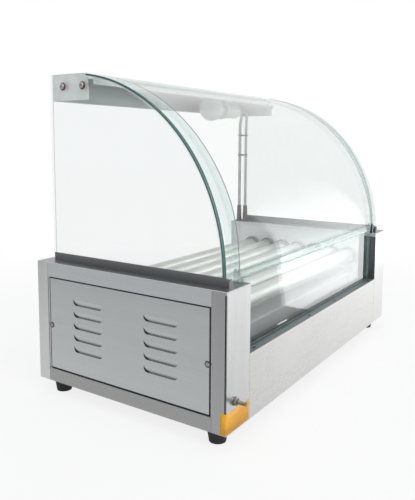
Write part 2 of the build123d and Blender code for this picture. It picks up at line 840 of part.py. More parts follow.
def corner_radii(points):
    """Arc radius at each inner point: 0.45 of the shorter run over the tangent of half the turn."""
    radii = []
    for before, at, after in zip(points, points[1:], points[2:]):
        first = Vector(*at) - Vector(*before)
        second = Vector(*after) - Vector(*at)
        half_turn = radians(first.get_angle(second) / 2)
        radii.append(0.45 * min(first.length, second.length) / tan(half_turn))
    return radii


def lamp_cable():
    points = lamp_cable_route()
    radii = corner_radii(points)
    print("lamp cable radii", [round(r, 1) for r in radii])
    path = FilletPolyline(*points, radius=radii)
    start = Plane(origin=path @ 0, z_dir=path % 0)
    tube = sweep(start * Circle(lamp_cable_radius), path=path)
    print("lamp cable length", round(path.length, 1), "volume ratio",
          round(tube.volume / (path.length * pi * lamp_cable_radius ** 2), 4))
    return tube


def cable_grommet():
    """Rubber grommet in the far cover with a tapered sleeve up the cable."""
    bore = lamp_cable_radius + cable_bore_clearance
    neck_bottom = cover_bottom - 2 * sheet
    flange_top = top + grommet_flange_height
    outline = [(bore, neck_bottom), (grommet_neck, neck_bottom), (grommet_neck, top), (grommet_flange, top),
               (grommet_flange, flange_top), (sleeve_foot, flange_top), (sleeve_tip, top + sleeve_height),
               (bore, top + sleeve_height)]
    return revolved_z(outline, cable_foot_x, cable_foot_y)


def terminal_block():
    """Ceramic block on the far inner wall where the lamp cable ends, with two wire slots."""
    x0 = wall_x + sheet
    x1 = x0 + terminal_depth
    y0 = cable_foot_y - terminal_reach
    z0 = terminal_top - terminal_height
    body = block(x0, x1, y0, cable_foot_y + terminal_overlap, z0, terminal_top)
    for y in (y0 + wire_slot_width, y0 + 3 * wire_slot_width):
        body -= block(x1 - wire_slot_depth, x1 + 1, y - wire_slot_width / 2, y + wire_slot_width / 2,
                      z0 + wire_slot_width, z0 + wire_slot_width + wire_slot_height)
    return body


# Controls

def knob_xs():
    return [-knob_spacing / 2, knob_spacing / 2]


def indicator_xs():
    return [x - copysign(indicator_offset, x) for x in knob_xs()]


def rocker_xs():
    return [-rocker_spacing / 2, rocker_spacing / 2]


def switch_halves():
    """Half width and half height of a switch housing."""
    return rocker_width / 2 + switch_gap + switch_wall, rocker_length / 2 + switch_gap + switch_wall


def thermostats():
    """Thermostat body and spindle behind each knob."""
    units = []
    back = half_depth - sheet
    half_w = thermostat_width / 2
    half_h = thermostat_height / 2
    for x in knob_xs():
        body = block(x - half_w, x + half_w, back - thermostat_depth, back, controls_z - half_h,
                     controls_z + half_h)
        body += rod_y(x, back, half_depth + knob_height - knob_cover, controls_z, spindle_radius)
        units.append(body)
    return units


def knob(x):
    """Skirted knob with a raised pointer ridge, bored for the spindle."""
    y0 = half_depth + knob_gap
    y1 = half_depth + knob_height
    outline = [(0, y0), (knob_radius, y0), (knob_radius, y0 + knob_skirt), (knob_grip, y0 + knob_shoulder),
               (knob_crown, y1), (0, y1)]
    part = revolved_y(outline, x, controls_z)
    reach = knob_grip + 1
    part += block(x - knob_ridge / 2, x + knob_ridge / 2, y0 + knob_skirt, y1 + 1, controls_z - reach,
                  controls_z + reach)
    bore_end = half_depth + knob_height - knob_cover + spindle_end_gap
    return part - rod_y(x, y0 - 1, bore_end, controls_z, spindle_radius + running_clearance)


def switch_bodies():
    """Bezel and housing of each rocker switch, open at the front for the rocker."""
    units = []
    half_w, half_l = switch_halves()
    for x in rocker_xs():
        bezel = block(x - half_w - bezel_width, x + half_w + bezel_width, half_depth,
                      half_depth + bezel_height, controls_z - half_l - bezel_width,
                      controls_z + half_l + bezel_width)
        bezel = fillet(bezel.edges().filter_by(Axis.Y), bezel_width)
        housing = block(x - half_w, x + half_w, half_depth - switch_depth, half_depth + bezel_height / 2,
                        controls_z - half_l, controls_z + half_l)
        well = block(x - half_w + switch_wall, x + half_w - switch_wall, half_depth - switch_well,
                     half_depth + bezel_height + 1, controls_z - half_l + switch_wall,
                     controls_z + half_l - switch_wall)
        pivots = rod_x(x - half_w - 1, x + half_w + 1, rocker_pivot_y, controls_z,
                       rocker_pivot_radius + running_clearance)
        units.append(bezel + housing - well - pivots)
    return units


def rocker(x):
    """Rocker in its off position: two wings at a shallow angle, a narrow back and a pivot at each side."""
    half = rocker_length / 2 - rocker_end_gap
    rise = half * tan(radians(rocker_tilt))
    foot = half - rocker_taper
    heel = rocker_heel / 2
    wing = [(half, rocker_crown + rise), (foot, -rocker_shoulder), (heel, -rocker_back)]
    profile = [(0, rocker_crown)] + wing + [(-z, d) for z, d in reversed(wing)]
    flat = Plane(origin=(x - rocker_width / 2, rocker_pivot_y, controls_z), x_dir=(0, 0, -1),
                 z_dir=(1, 0, 0))
    cap = extrude(flat * make_face(Polyline(*profile, close=True)), rocker_width)
    reach = rocker_width / 2 + rocker_pivot_reach
    cap += rod_x(x - reach, x + reach, rocker_pivot_y, controls_z, rocker_pivot_radius)
    return cap.rotate(Axis((x, rocker_pivot_y, controls_z), (1, 0, 0)), rocker_tilt)


def indicator_lamps():
    """Domed lens with a short body through the panel."""
    lamps = []
    back = half_depth - lamp_depth
    front = half_depth + lamp_dome
    outline = [(0, back), (lamp_body_radius, back), (lamp_body_radius, half_depth),
               (lamp_rim_radius, half_depth), (lamp_body_radius, front), (0, front)]
    for x in indicator_xs():
        lamps.append(revolved_y(outline, x, controls_z))
    return lamps


def cord_gland():
    """Threaded gland with its dome nut outside and lock nut inside."""
    outside = half_depth
    inside = half_depth - sheet
    flange_end = outside + gland_flange_height
    dome_end = flange_end + gland_dome_height
    barrel = rod_y(gland_x, inside - gland_thread, outside, gland_z, gland_shank_radius)
    flange = hex_y(gland_x, outside, flange_end, gland_z, gland_flange_radius)
    dome = revolved_y([(0, flange_end), (gland_dome_radius, flange_end), (gland_mouth_radius, dome_end),
                       (0, dome_end)], gland_x, gland_z)
    nut = hex_y(gland_x, inside - gland_nut_height, inside, gland_z, gland_nut_radius)
    body = barrel + flange + dome + nut
    return body - rod_y(gland_x, inside - gland_thread - 1, dome_end + 1, gland_z, gland_bore_radius)


# Feet and earth stud

def feet():
    """Tapered rubber feet."""
    outline = [(0, 0), (foot_tip_radius, 0), (foot_radius, foot_height), (0, foot_height)]
    return [revolved_z(outline, x, y) for x, y in foot_places()]


def bonding_stud():
    """Earth bonding stud through the near front post, with a nut on each side and an outer washer."""
    x = -half_length + stud_inset
    face = -half_depth
    stud = rod_y(x, face - stud_length, face + sheet + stud_tail, stud_height, stud_radius)
    nut_end = face - stud_washer_height
    washer = rod_y(x, nut_end, face, stud_height, stud_washer)
    nut = hex_y(x, nut_end - stud_nut_height, nut_end, stud_height, stud_nut)
    back_nut = hex_y(x, face + sheet, face + sheet + stud_back_nut_height, stud_height, stud_nut)
    return stud + washer + nut + back_nut


def save(name, shape):
    """Write one sub-part, a single solid or a list of separate ones."""
    if isinstance(shape, list):
        shape = Compound(children=[item.solid() if hasattr(item, "solid") else item for item in shape])
    export_step(shape, f"parts/{name}.step")


def main():
    os.makedirs("parts", exist_ok=True)
    post = corner_post()
    stud_hole = rod_y(-half_length + stud_inset, -half_depth - 1, -half_depth + 2 * sheet, stud_height,
                      stud_radius + fit_gap)
    rear_post = mirror(post, about=Plane.XZ)
    save("front_left_post", post - stud_hole)
    save("front_right_post", mirrored_x(post))
    save("rear_left_post", rear_post)
    save("rear_right_post", mirrored_x(rear_post))
    save("base_pan", base_pan())
    save("front_panel", front_panel())
    save("control_panel", control_panel())
    cover = top_cover()
    save("left_top_cover", cover)
    cable_hole = rod_z(cable_foot_x, cable_foot_y, top - 2 * sheet, top + 1, grommet_neck + fit_gap)
    save("right_top_cover", mirrored_x(cover) - cable_hole)
    rail = bottom_rail()
    save("bottom_rails", [rail, mirrored_x(rail)])
    panel = service_panel()
    save("left_service_panel", panel)
    save("right_service_panel", mirrored_x(panel))
    wall = inner_wall()
    motor_z = motor_axis()
    boss_hole = rod_x(-wall_x - 2 * sheet, -wall_x + 1, 0, motor_z, motor_boss_radius + seam)
    save("left_inner_wall", wall - boss_hole)
    save("right_inner_wall", mirrored_x(wall))
    guide = tray_guide()
    save("tray_guides", [guide, mirrored_x(guide)])
    save("bearing_rings", bearing_rings())
    save("heating_elements", heating_elements())
    bracket = element_bracket()
    save("element_brackets", [bracket, mirrored_x(bracket)])
    for i, y in enumerate(roller_ys):
        save(f"roller_{i + 1}", roller(y))
        save(f"sprocket_{i + 1}", sprocket(y, roller_axis_height, roller_turn(i), journal_radius))
    save("motor_sprocket", sprocket(0, motor_z, 0, motor_shaft_radius))
    save("motor_shaft", motor_shaft())
    save("gearmotor", gearmotor())
    save("drive_chain", drive_chain())
    save("drip_tray", drip_tray())
    pane = side_pane()
    save("left_side_glass", pane)
    save("right_side_glass", mirrored_x(pane))
    channel = glass_channel()
    save("glass_channels", [channel, mirrored_x(channel)])
    save("curved_glass", curved_pane())
    save("lower_front_glass", lower_pane())
    clip = glass_clip()
    save("glass_clips", [clip, mirrored_x(clip)])
    save("roof_bar", roof_bar())
    save("lamp_bulb", lamp_bulb())
    save("lamp_holder", lamp_holder())
    save("lamp_cable", lamp_cable())
    save("cable_grommet", cable_grommet())
    save("terminal_block", terminal_block())
    save("thermostats", thermostats())
    for name, x in zip(("front_zone_knob", "rear_zone_knob"), knob_xs()):
        save(name, knob(x))
    save("switch_bodies", switch_bodies())
    for name, x in zip(("roller_switch", "lamp_switch"), rocker_xs()):
        save(name, rocker(x))
    save("indicator_lamps", indicator_lamps())
    save("cord_gland", cord_gland())
    save("feet", feet())
    save("bonding_stud", bonding_stud())


main()
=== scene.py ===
import math
import random

import bmesh
import bpy
from mathutils import Matrix, Vector
from mathutils.geometry import tessellate_polygon


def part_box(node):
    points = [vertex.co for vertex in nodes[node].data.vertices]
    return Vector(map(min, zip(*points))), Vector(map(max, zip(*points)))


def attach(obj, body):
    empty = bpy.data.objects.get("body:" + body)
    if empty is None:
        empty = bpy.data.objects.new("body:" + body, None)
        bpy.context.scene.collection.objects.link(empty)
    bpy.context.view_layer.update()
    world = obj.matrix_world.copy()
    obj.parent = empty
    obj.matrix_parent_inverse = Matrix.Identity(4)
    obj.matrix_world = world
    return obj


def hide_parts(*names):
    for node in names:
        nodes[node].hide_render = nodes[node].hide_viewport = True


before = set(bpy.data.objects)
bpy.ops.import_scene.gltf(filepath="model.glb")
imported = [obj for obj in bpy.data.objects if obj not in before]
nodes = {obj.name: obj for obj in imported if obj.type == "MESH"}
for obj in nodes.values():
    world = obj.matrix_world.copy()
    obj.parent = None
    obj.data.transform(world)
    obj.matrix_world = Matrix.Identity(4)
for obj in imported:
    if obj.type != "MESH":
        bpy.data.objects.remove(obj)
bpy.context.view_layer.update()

scene = bpy.context.scene

# Places on the CAD model in metres: X along the rollers, -Y towards the customer, Z up

HALF_LENGTH = 0.290
HALF_DEPTH = 0.157  # of the body, without knobs
POST_INNER_X = 0.236
COVER_TOP = 0.190
SIDE_PANE_X = 0.2665  # middle of a side pane's thickness
CURVE_Y, CURVE_Z = 0.110, 0.192  # centre of the curved pane's arc
SIDE_ARC_Z = 0.198  # height of the centre of a side pane's arc
ROOF_FRONT_Y = 0.078
MIDDLE = (0, 0, 0.2)
FRONT_PANES = ("curved_glass", "lower_front_glass", "edge_strips", "joint_strip")


# Camera and light

def add_camera():
    """The photograph's camera, solved from the straight edges in it."""
    place = (-0.83383, -0.49165, 0.35561)
    right = Vector((0.55462, -0.832088, 0.005148))
    up = Vector((0.08783, 0.064692, 0.994033))
    ahead = Vector((0.827456, 0.550858, -0.108961))
    data = bpy.data.cameras.new("camera")
    data.lens = 42.12
    data.sensor_width = 36.0
    data.shift_x = 0.001
    data.shift_y = -0.0856
    camera = bpy.data.objects.new("camera", data)
    turn = Matrix((right, up, -ahead)).transposed().to_4x4()
    camera.matrix_world = Matrix.Translation(place) @ turn
    scene.collection.objects.link(camera)
    scene.camera = camera


class Graph:
    """Short calls for building a node tree. A value may be a number, a colour, a node or a
    socket."""

    def __init__(self, tree):
        self.tree = tree
        tree.nodes.clear()

    def add(self, kind, *inputs, **settings):
        """New node with its settings, and its first inputs filled."""
        node = self.tree.nodes.new(kind)
        for key, value in settings.items():
            setattr(node, key, value)
        for i, value in enumerate(inputs):
            self.put(node, i, value)
        return node

    def put(self, node, key, value):
        socket = node.inputs[key]
        if isinstance(value, bpy.types.Node):
            value = value.outputs[0]
        if isinstance(value, bpy.types.NodeSocket):
            self.tree.links.new(value, socket)
        elif socket.type == "RGBA":
            socket.default_value = (*value, 1.0)
        else:
            socket.default_value = value

    def calc(self, operation, *values):
        return self.add("ShaderNodeMath", *values, operation=operation)

    def coords(self):
        return self.add("ShaderNodeTexCoord").outputs["Object"]

    def axes(self, vector):
        return self.add("ShaderNodeSeparateXYZ", vector).outputs

    def noise(self, place, frequency, detail=3.0, rough=0.5):
        """Noise whose frequency is one number, or one for each axis."""
        if not isinstance(frequency, tuple):
            frequency = (frequency,) * 3
        spread = self.add("ShaderNodeVectorMath", place, frequency, operation="MULTIPLY")
        node = self.add("ShaderNodeTexNoise", spread, normalize=True)
        for key, number in (("Scale", 1.0), ("Detail", detail), ("Roughness", rough)):
            self.put(node, key, number)
        return node.outputs["Fac"]

    def ramp(self, value, low, high, to_low, to_high):
        """Value carried from the range low to high over to another range, and held at its ends."""
        return self.add("ShaderNodeMapRange", value, low, high, to_low, to_high, clamp=True)

    def blend(self, share, a, b):
        """Colour between a and b."""
        node = self.add("ShaderNodeMix", data_type="RGBA")
        for index, value in ((0, share), (6, a), (7, b)):
            self.put(node, index, value)
        return node.outputs[2]

    def mix(self, share, a, b):
        """Shader between a and b."""
        return self.add("ShaderNodeMixShader", share, a, b)

    def bump(self, height, strength, distance):
        node = self.add("ShaderNodeBump")
        for key, value in (("Strength", strength), ("Distance", distance), ("Height", height)):
            self.put(node, key, value)
        return node

    def principled(self, **inputs):
        """Principled shader; an underscore in an input's name stands for a space."""
        node = self.add("ShaderNodeBsdfPrincipled")
        for key, value in inputs.items():
            self.put(node, key.replace("_", " "), value)
        return node

    def finish(self, shader, kind="Material"):
        self.put(self.add("ShaderNodeOutput" + kind), 0, shader)


def add_area(name, place, target, width, height, power):
    """White softbox at a place, turned to a target and unseen by the camera."""
    data = bpy.data.lights.new(name, "AREA")
    data.shape = "RECTANGLE"
    data.size = width
    data.size_y = height
    data.energy = power
    lamp = bpy.data.objects.new(name, data)
    back = Vector(place) - Vector(target)
    lamp.location = place
    lamp.rotation_mode = "QUATERNION"
    lamp.rotation_quaternion = back.to_track_quat("Z", "Y")
    lamp.visible_camera = False
    scene.collection.objects.link(lamp)
    return lamp


def add_pane_light():
    """Leaning softbox beside the far end that only the front panes take up, as a pale veil over
    part of them. It fades out upwards and towards the operator's side."""
    place = (0.31, -0.285, 0.219)
    lamp = add_area("pane_light", place, (0.0, place[1], place[2]), 0.20, 0.48, 0.66)
    lean = Matrix.Rotation(math.radians(9.0), 3, "X").to_quaternion()
    lamp.rotation_quaternion = lean @ lamp.rotation_quaternion
    lamp.data.use_nodes = True
    g = Graph(lamp.data.node_tree)
    _, y, z = g.axes(g.add("ShaderNodeNewGeometry").outputs["Position"])
    slanting = g.ramp(g.calc("ADD", y, z), -0.14, 0.24, 1.0, 0.0)
    upwards = g.ramp(z, 0.16, 0.44, 1.0, 0.0)
    fade = g.calc("MULTIPLY", slanting, upwards)
    g.finish(g.add("ShaderNodeEmission", (1.0, 1.0, 1.0), fade), "Light")
    lights_only(lamp, FRONT_PANES)


def add_low_light():
    """Card standing beyond the far end, for the gleam on the far half of the front panel."""
    lamp = add_area("low_light", (1.05, -0.42, 0.21), (0.0, -0.30, 0.14), 0.34, 0.42, 0.6)
    lights_only(lamp, ("front_panel", "front_left_post", "front_right_post"))


def lights_only(lamp, names, state="INCLUDE"):
    """Let the lamp reach only the named objects, or with EXCLUDE all but them."""
    receivers = bpy.data.collections.new(lamp.name + "_receivers")
    for name in names:
        receivers.objects.link(scene.objects[name])
    for member in receivers.collection_objects:
        member.light_linking.link_state = state
    lamp.light_linking.receiver_collection = receivers


def add_world():
    """White where the camera looks past the object; a soft studio, dimmer behind the near end."""
    world = bpy.data.worlds.new("studio")
    scene.world = world
    world.use_nodes = True
    g = Graph(world.node_tree)
    x = g.axes(g.add("ShaderNodeTexCoord").outputs["Generated"])[0]
    near, far = (0.36, 0.385, 0.41), (1.0, 0.995, 0.98)
    studio = g.blend(g.ramp(x, -0.85, 0.35, 0.0, 1.0), near, far)
    soft, mirrored, white = (g.add("ShaderNodeBackground", colour, 1.0)
                             for colour in ((0.60, 0.61, 0.62), studio, (1.0, 1.0, 1.0)))
    rays = g.add("ShaderNodeLightPath").outputs
    lit = g.mix(rays["Is Glossy Ray"], soft, mirrored)
    straight = g.calc("MAXIMUM", rays["Is Camera Ray"], rays["Is Transmission Ray"])
    g.finish(g.mix(straight, lit, white), "World")


def floor_paper(g):
    """Pale paper. It glows where the camera sees it far from the object, and in reflections, there
    less towards the near end."""
    rays = g.add("ShaderNodeLightPath").outputs
    place = g.coords()
    grain = g.noise(place, 14.0, detail=2.0)
    tone = g.blend(g.ramp(grain, 0.3, 0.7, 0.0, 1.0), (0.80, 0.80, 0.80), (0.83, 0.83, 0.83))
    paper = g.add("ShaderNodeBsdfDiffuse", tone, 0.6)
    mirrored = rays["Is Glossy Ray"]
    near_loss = g.ramp(g.axes(place)[0], -0.9, 0.55, 0.67, 0.0)
    strength = g.calc("SUBTRACT", 1.0, g.calc("MULTIPLY", mirrored, near_loss))
    glow = g.add("ShaderNodeEmission", (1.0, 1.0, 1.0), strength)
    straight = g.calc("MAXIMUM", rays["Is Camera Ray"], rays["Is Transmission Ray"])
    away = g.add("ShaderNodeVectorMath", place, operation="LENGTH").outputs["Value"]
    seen = g.calc("MULTIPLY", straight, g.ramp(away, 0.55, 1.1, 0.80, 1.0))
    return g.mix(g.calc("MAXIMUM", seen, g.calc("MULTIPLY", mirrored, 0.70)), paper, glow)


def add_floor():
    half = 6.0
    mesh = bpy.data.meshes.new("floor")
    corners = [(-half, -half, 0), (half, -half, 0), (half, half, 0), (-half, half, 0)]
    mesh.from_pydata(corners, [], [(0, 1, 2, 3)])
    floor = bpy.data.objects.new("floor", mesh)
    scene.collection.objects.link(floor)
    mesh.materials.append(new_material("floor_white", floor_paper))


# Materials: each function returns the shader that ends one node tree

def new_material(name, paint, *values):
    material = bpy.data.materials.new(name)
    material.use_nodes = True
    g = Graph(material.node_tree)
    g.finish(paint(g, *values))
    return material


def scaled(colour, factor):
    """Lighter or darker colour, held at white."""
    return tuple(min(1.0, c * factor) for c in colour)


def drawn(along, on, across):
    """Frequencies of noise that is drawn out along one axis."""
    return tuple(on if axis == along else across for axis in "XYZ")


def brushed(g, along, colour, rough, spread=0.06, mottle=0.05):
    """Sheet steel with grain along one axis, soft bands, smudges and fine scratches."""
    place = g.coords()
    grain = g.noise(place, drawn(along, 9.0, 1400.0))
    band = g.noise(place, drawn(along, 2.0, 70.0))
    smudge = g.noise(place, 11.0, detail=4.0, rough=0.6)
    tone = g.calc("ADD", g.calc("MULTIPLY", grain, 0.45), g.calc("MULTIPLY", band, 0.30))
    tone = g.calc("ADD", tone, g.calc("MULTIPLY", smudge, 0.25))
    shade = g.blend(g.ramp(tone, 0.36, 0.64, 0.0, 1.0), scaled(colour, 1 - mottle),
                    scaled(colour, 1 + mottle))
    gloss = g.calc("ADD", g.ramp(grain, 0.3, 0.7, rough - spread, rough + spread),
                   g.ramp(smudge, 0.45, 0.75, 0.0, 0.07))
    return g.principled(Base_Color=shade, Metallic=1.0, Roughness=gloss,
                        Normal=g.bump(grain, 0.16, 0.00006))


def turned(g, colour, rough, frequency):
    """Polished round steel with fine rings and faint stains."""
    place = g.coords()
    rings = g.noise(place, frequency)
    stain = g.noise(place, 26.0, detail=4.0, rough=0.6)
    shade = g.blend(g.ramp(stain, 0.35, 0.75, 0.0, 1.0), colour, scaled(colour, 0.88))
    gloss = g.calc("ADD", g.ramp(rings, 0.3, 0.7, rough - 0.04, rough + 0.05),
                   g.ramp(stain, 0.5, 0.8, 0.0, 0.1))
    return g.principled(Base_Color=shade, Metallic=1.0, Roughness=gloss,
                        Normal=g.bump(rings, 0.12, 0.00005))


def moulded(g, colour, rough, spread=0.12):
    """Plastic, rubber, ceramic or paint with a fine skin and slight wear."""
    place = g.coords()
    skin = g.noise(place, 420.0)
    wear = g.noise(place, 38.0, detail=4.0, rough=0.6)
    paler = tuple(min(1.0, c + spread * (0.35 + c)) for c in colour)
    shade = g.blend(g.ramp(wear, 0.42, 0.8, 0.0, 1.0), colour, paler)
    gloss = g.calc("ADD", g.ramp(skin, 0.3, 0.7, rough - 0.05, rough + 0.05),
                   g.ramp(wear, 0.5, 0.8, 0.0, 0.12))
    return g.principled(Base_Color=shade, Roughness=gloss, Normal=g.bump(skin, 0.25, 0.00008))


PANE_TINT, PANE_HAZE = (0.972, 0.984, 0.981), 0.012


def thin_glass(g, tint=PANE_TINT, haze=PANE_HAZE, ground=None):
    """Clear pane: what is behind it, a mirror share that grows towards grazing, a trace of dust
    and, where ground says so, a pale ground surface."""
    head_on, growth = 0.045, 0.90
    place = g.coords()
    facing = g.add("ShaderNodeLayerWeight", 0.5).outputs["Facing"]
    share = g.calc("MULTIPLY_ADD", g.calc("POWER", facing, 5.0), growth, head_on)
    clear = g.add("ShaderNodeBsdfTransparent", tint)
    smear = g.noise(place, (18.0, 18.0, 9.0))
    mirror = g.add("ShaderNodeBsdfAnisotropic", (0.96, 0.98, 0.98))
    g.put(mirror, "Roughness", g.ramp(smear, 0.4, 0.7, 0.02, 0.07))
    dust = g.noise(place, 260.0, detail=4.0, rough=0.7)
    film = g.add("ShaderNodeBsdfDiffuse", (0.93, 0.96, 0.96), 0.5)
    amount = g.calc("ADD", g.ramp(dust, 0.45, 0.8, 0.0, haze), g.ramp(smear, 0.45, 0.8, 0.0, haze))
    if ground is not None:
        amount = g.calc("MAXIMUM", amount, ground)
    return g.mix(amount, g.mix(share, clear, mirror), film)


def side_pane_glass(g):
    """The pane's face, with the dark rim and the pale ground band that follow its arc. The rim of
    the far pane is fainter."""
    x, y, z = g.axes(g.coords())
    dy = g.calc("SUBTRACT", y, CURVE_Y)
    dz = g.calc("SUBTRACT", z, SIDE_ARC_Z)
    squares = g.calc("ADD", g.calc("MULTIPLY", dy, dy), g.calc("MULTIPLY", dz, dz))
    radius = g.calc("SQRT", squares)
    on_arc = g.calc("LESS_THAN", y, ROOF_FRONT_Y)
    band_radii, rim_radii = (0.2450, 0.2458), (0.2472, 0.2482)
    band = g.calc("MULTIPLY", g.ramp(radius, *band_radii, 0.0, 0.30), on_arc)
    rim = g.calc("MULTIPLY", g.ramp(radius, *rim_radii, 0.0, 0.95), on_arc)
    rim = g.calc("MULTIPLY", rim, g.ramp(x, -0.01, 0.01, 1.0, 0.35))
    deep = g.add("ShaderNodeBsdfDiffuse", (0.048, 0.120, 0.112), 0.5)
    return g.mix(rim, thin_glass(g, ground=band), deep)


def deep_edge(g, core, arris):
    """Ground edge of a side pane: its colour is deep between two thin paler arrises."""
    place = g.coords()
    x = g.axes(place)[0]
    off = g.calc("ABSOLUTE", g.calc("SUBTRACT", g.calc("ABSOLUTE", x), SIDE_PANE_X))
    mottling = g.noise(place, 120.0)
    deep = g.blend(g.ramp(mottling, 0.35, 0.7, 0.0, 1.0), core, scaled(core, 1.35))
    shade = g.blend(g.ramp(off, 0.0020, 0.0025, 0.0, 1.0), deep, arris)
    return g.principled(Base_Color=shade, Roughness=g.ramp(mottling, 0.3, 0.7, 0.18, 0.32),
                        Specular_IOR_Level=0.25)


def rear_edge(g, tint, arris):
    """Rear edge of a side pane: clear, with one fine grey arris on its inner side."""
    place = g.coords()
    x = g.calc("ABSOLUTE", g.axes(place)[0])
    wear = g.noise(place, 120.0)
    grey = g.principled(Base_Color=arris, Roughness=g.ramp(wear, 0.3, 0.7, 0.2, 0.35))
    clear = g.add("ShaderNodeBsdfTransparent", tint)
    return g.mix(g.ramp(x, 0.2647, 0.2652, 0.75, 0.03), clear, grey)


def clear_edge(g, tint, skin, share):
    """Edge that is mostly seen through: a pale green tint under a thin grey skin."""
    mottling = g.noise(g.coords(), 120.0)
    shade = g.blend(g.ramp(mottling, 0.35, 0.7, 0.0, 1.0), skin, scaled(skin, 1.2))
    ground = g.principled(Base_Color=shade, Roughness=g.ramp(mottling, 0.3, 0.7, 0.15, 0.30))
    clear = g.add("ShaderNodeBsdfTransparent", tint)
    return g.mix(g.ramp(mottling, 0.3, 0.7, share - 0.06, share + 0.06), clear, ground)


def frosted(g):
    """Opal bulb: white skin under a thin gloss."""
    skin = g.noise(g.coords(), 300.0)
    shade = g.blend(g.ramp(skin, 0.3, 0.7, 0.0, 1.0), (0.80, 0.82, 0.82), (0.86, 0.87, 0.87))
    return g.principled(Base_Color=shade, Roughness=g.ramp(skin, 0.3, 0.7, 0.28, 0.38),
                        Coat_Weight=0.3, Coat_Roughness=0.12, Normal=g.bump(skin, 0.1, 0.00004))


def heat_stained(g):
    """Element sheath: dull nickel alloy with brown and blue heat tint along it."""
    place = g.coords()
    heat = g.noise(place, (14.0, 60.0, 60.0))
    scale = g.noise(place, 400.0)
    warm = g.blend(g.ramp(heat, 0.35, 0.6, 0.0, 1.0), (0.20, 0.17, 0.15), (0.34, 0.31, 0.30))
    shade = g.blend(g.ramp(heat, 0.6, 0.75, 0.0, 0.5), warm, (0.24, 0.26, 0.33))
    return g.principled(Base_Color=shade, Metallic=0.85, Normal=g.bump(scale, 0.2, 0.00005),
                        Roughness=g.ramp(scale, 0.3, 0.7, 0.38, 0.55))


def lens_plastic(g, colour):
    """Glossy lens with fine ribs inside."""
    ribs = g.noise(g.coords(), 500.0, detail=2.0)
    shade = g.blend(g.ramp(ribs, 0.3, 0.7, 0.0, 1.0), colour, scaled(colour, 0.7))
    return g.principled(Base_Color=shade, Roughness=g.ramp(ribs, 0.3, 0.7, 0.12, 0.2),
                        Coat_Weight=0.6, Coat_Roughness=0.05, Normal=g.bump(ribs, 0.1, 0.00005))


def film_plastic(g, colour, paler):
    """Blank film, a little uneven and creased where it wraps the corner."""
    place = g.coords()
    crease = g.noise(place, (60.0, 60.0, 25.0))
    fibre = g.noise(place, 700.0, detail=2.0)
    shade = g.blend(g.ramp(crease, 0.3, 0.75, 0.0, 1.0), colour, paler)
    return g.principled(Base_Color=shade, Roughness=g.ramp(fibre, 0.3, 0.7, 0.35, 0.5),
                        Normal=g.bump(crease, 0.3, 0.0004))


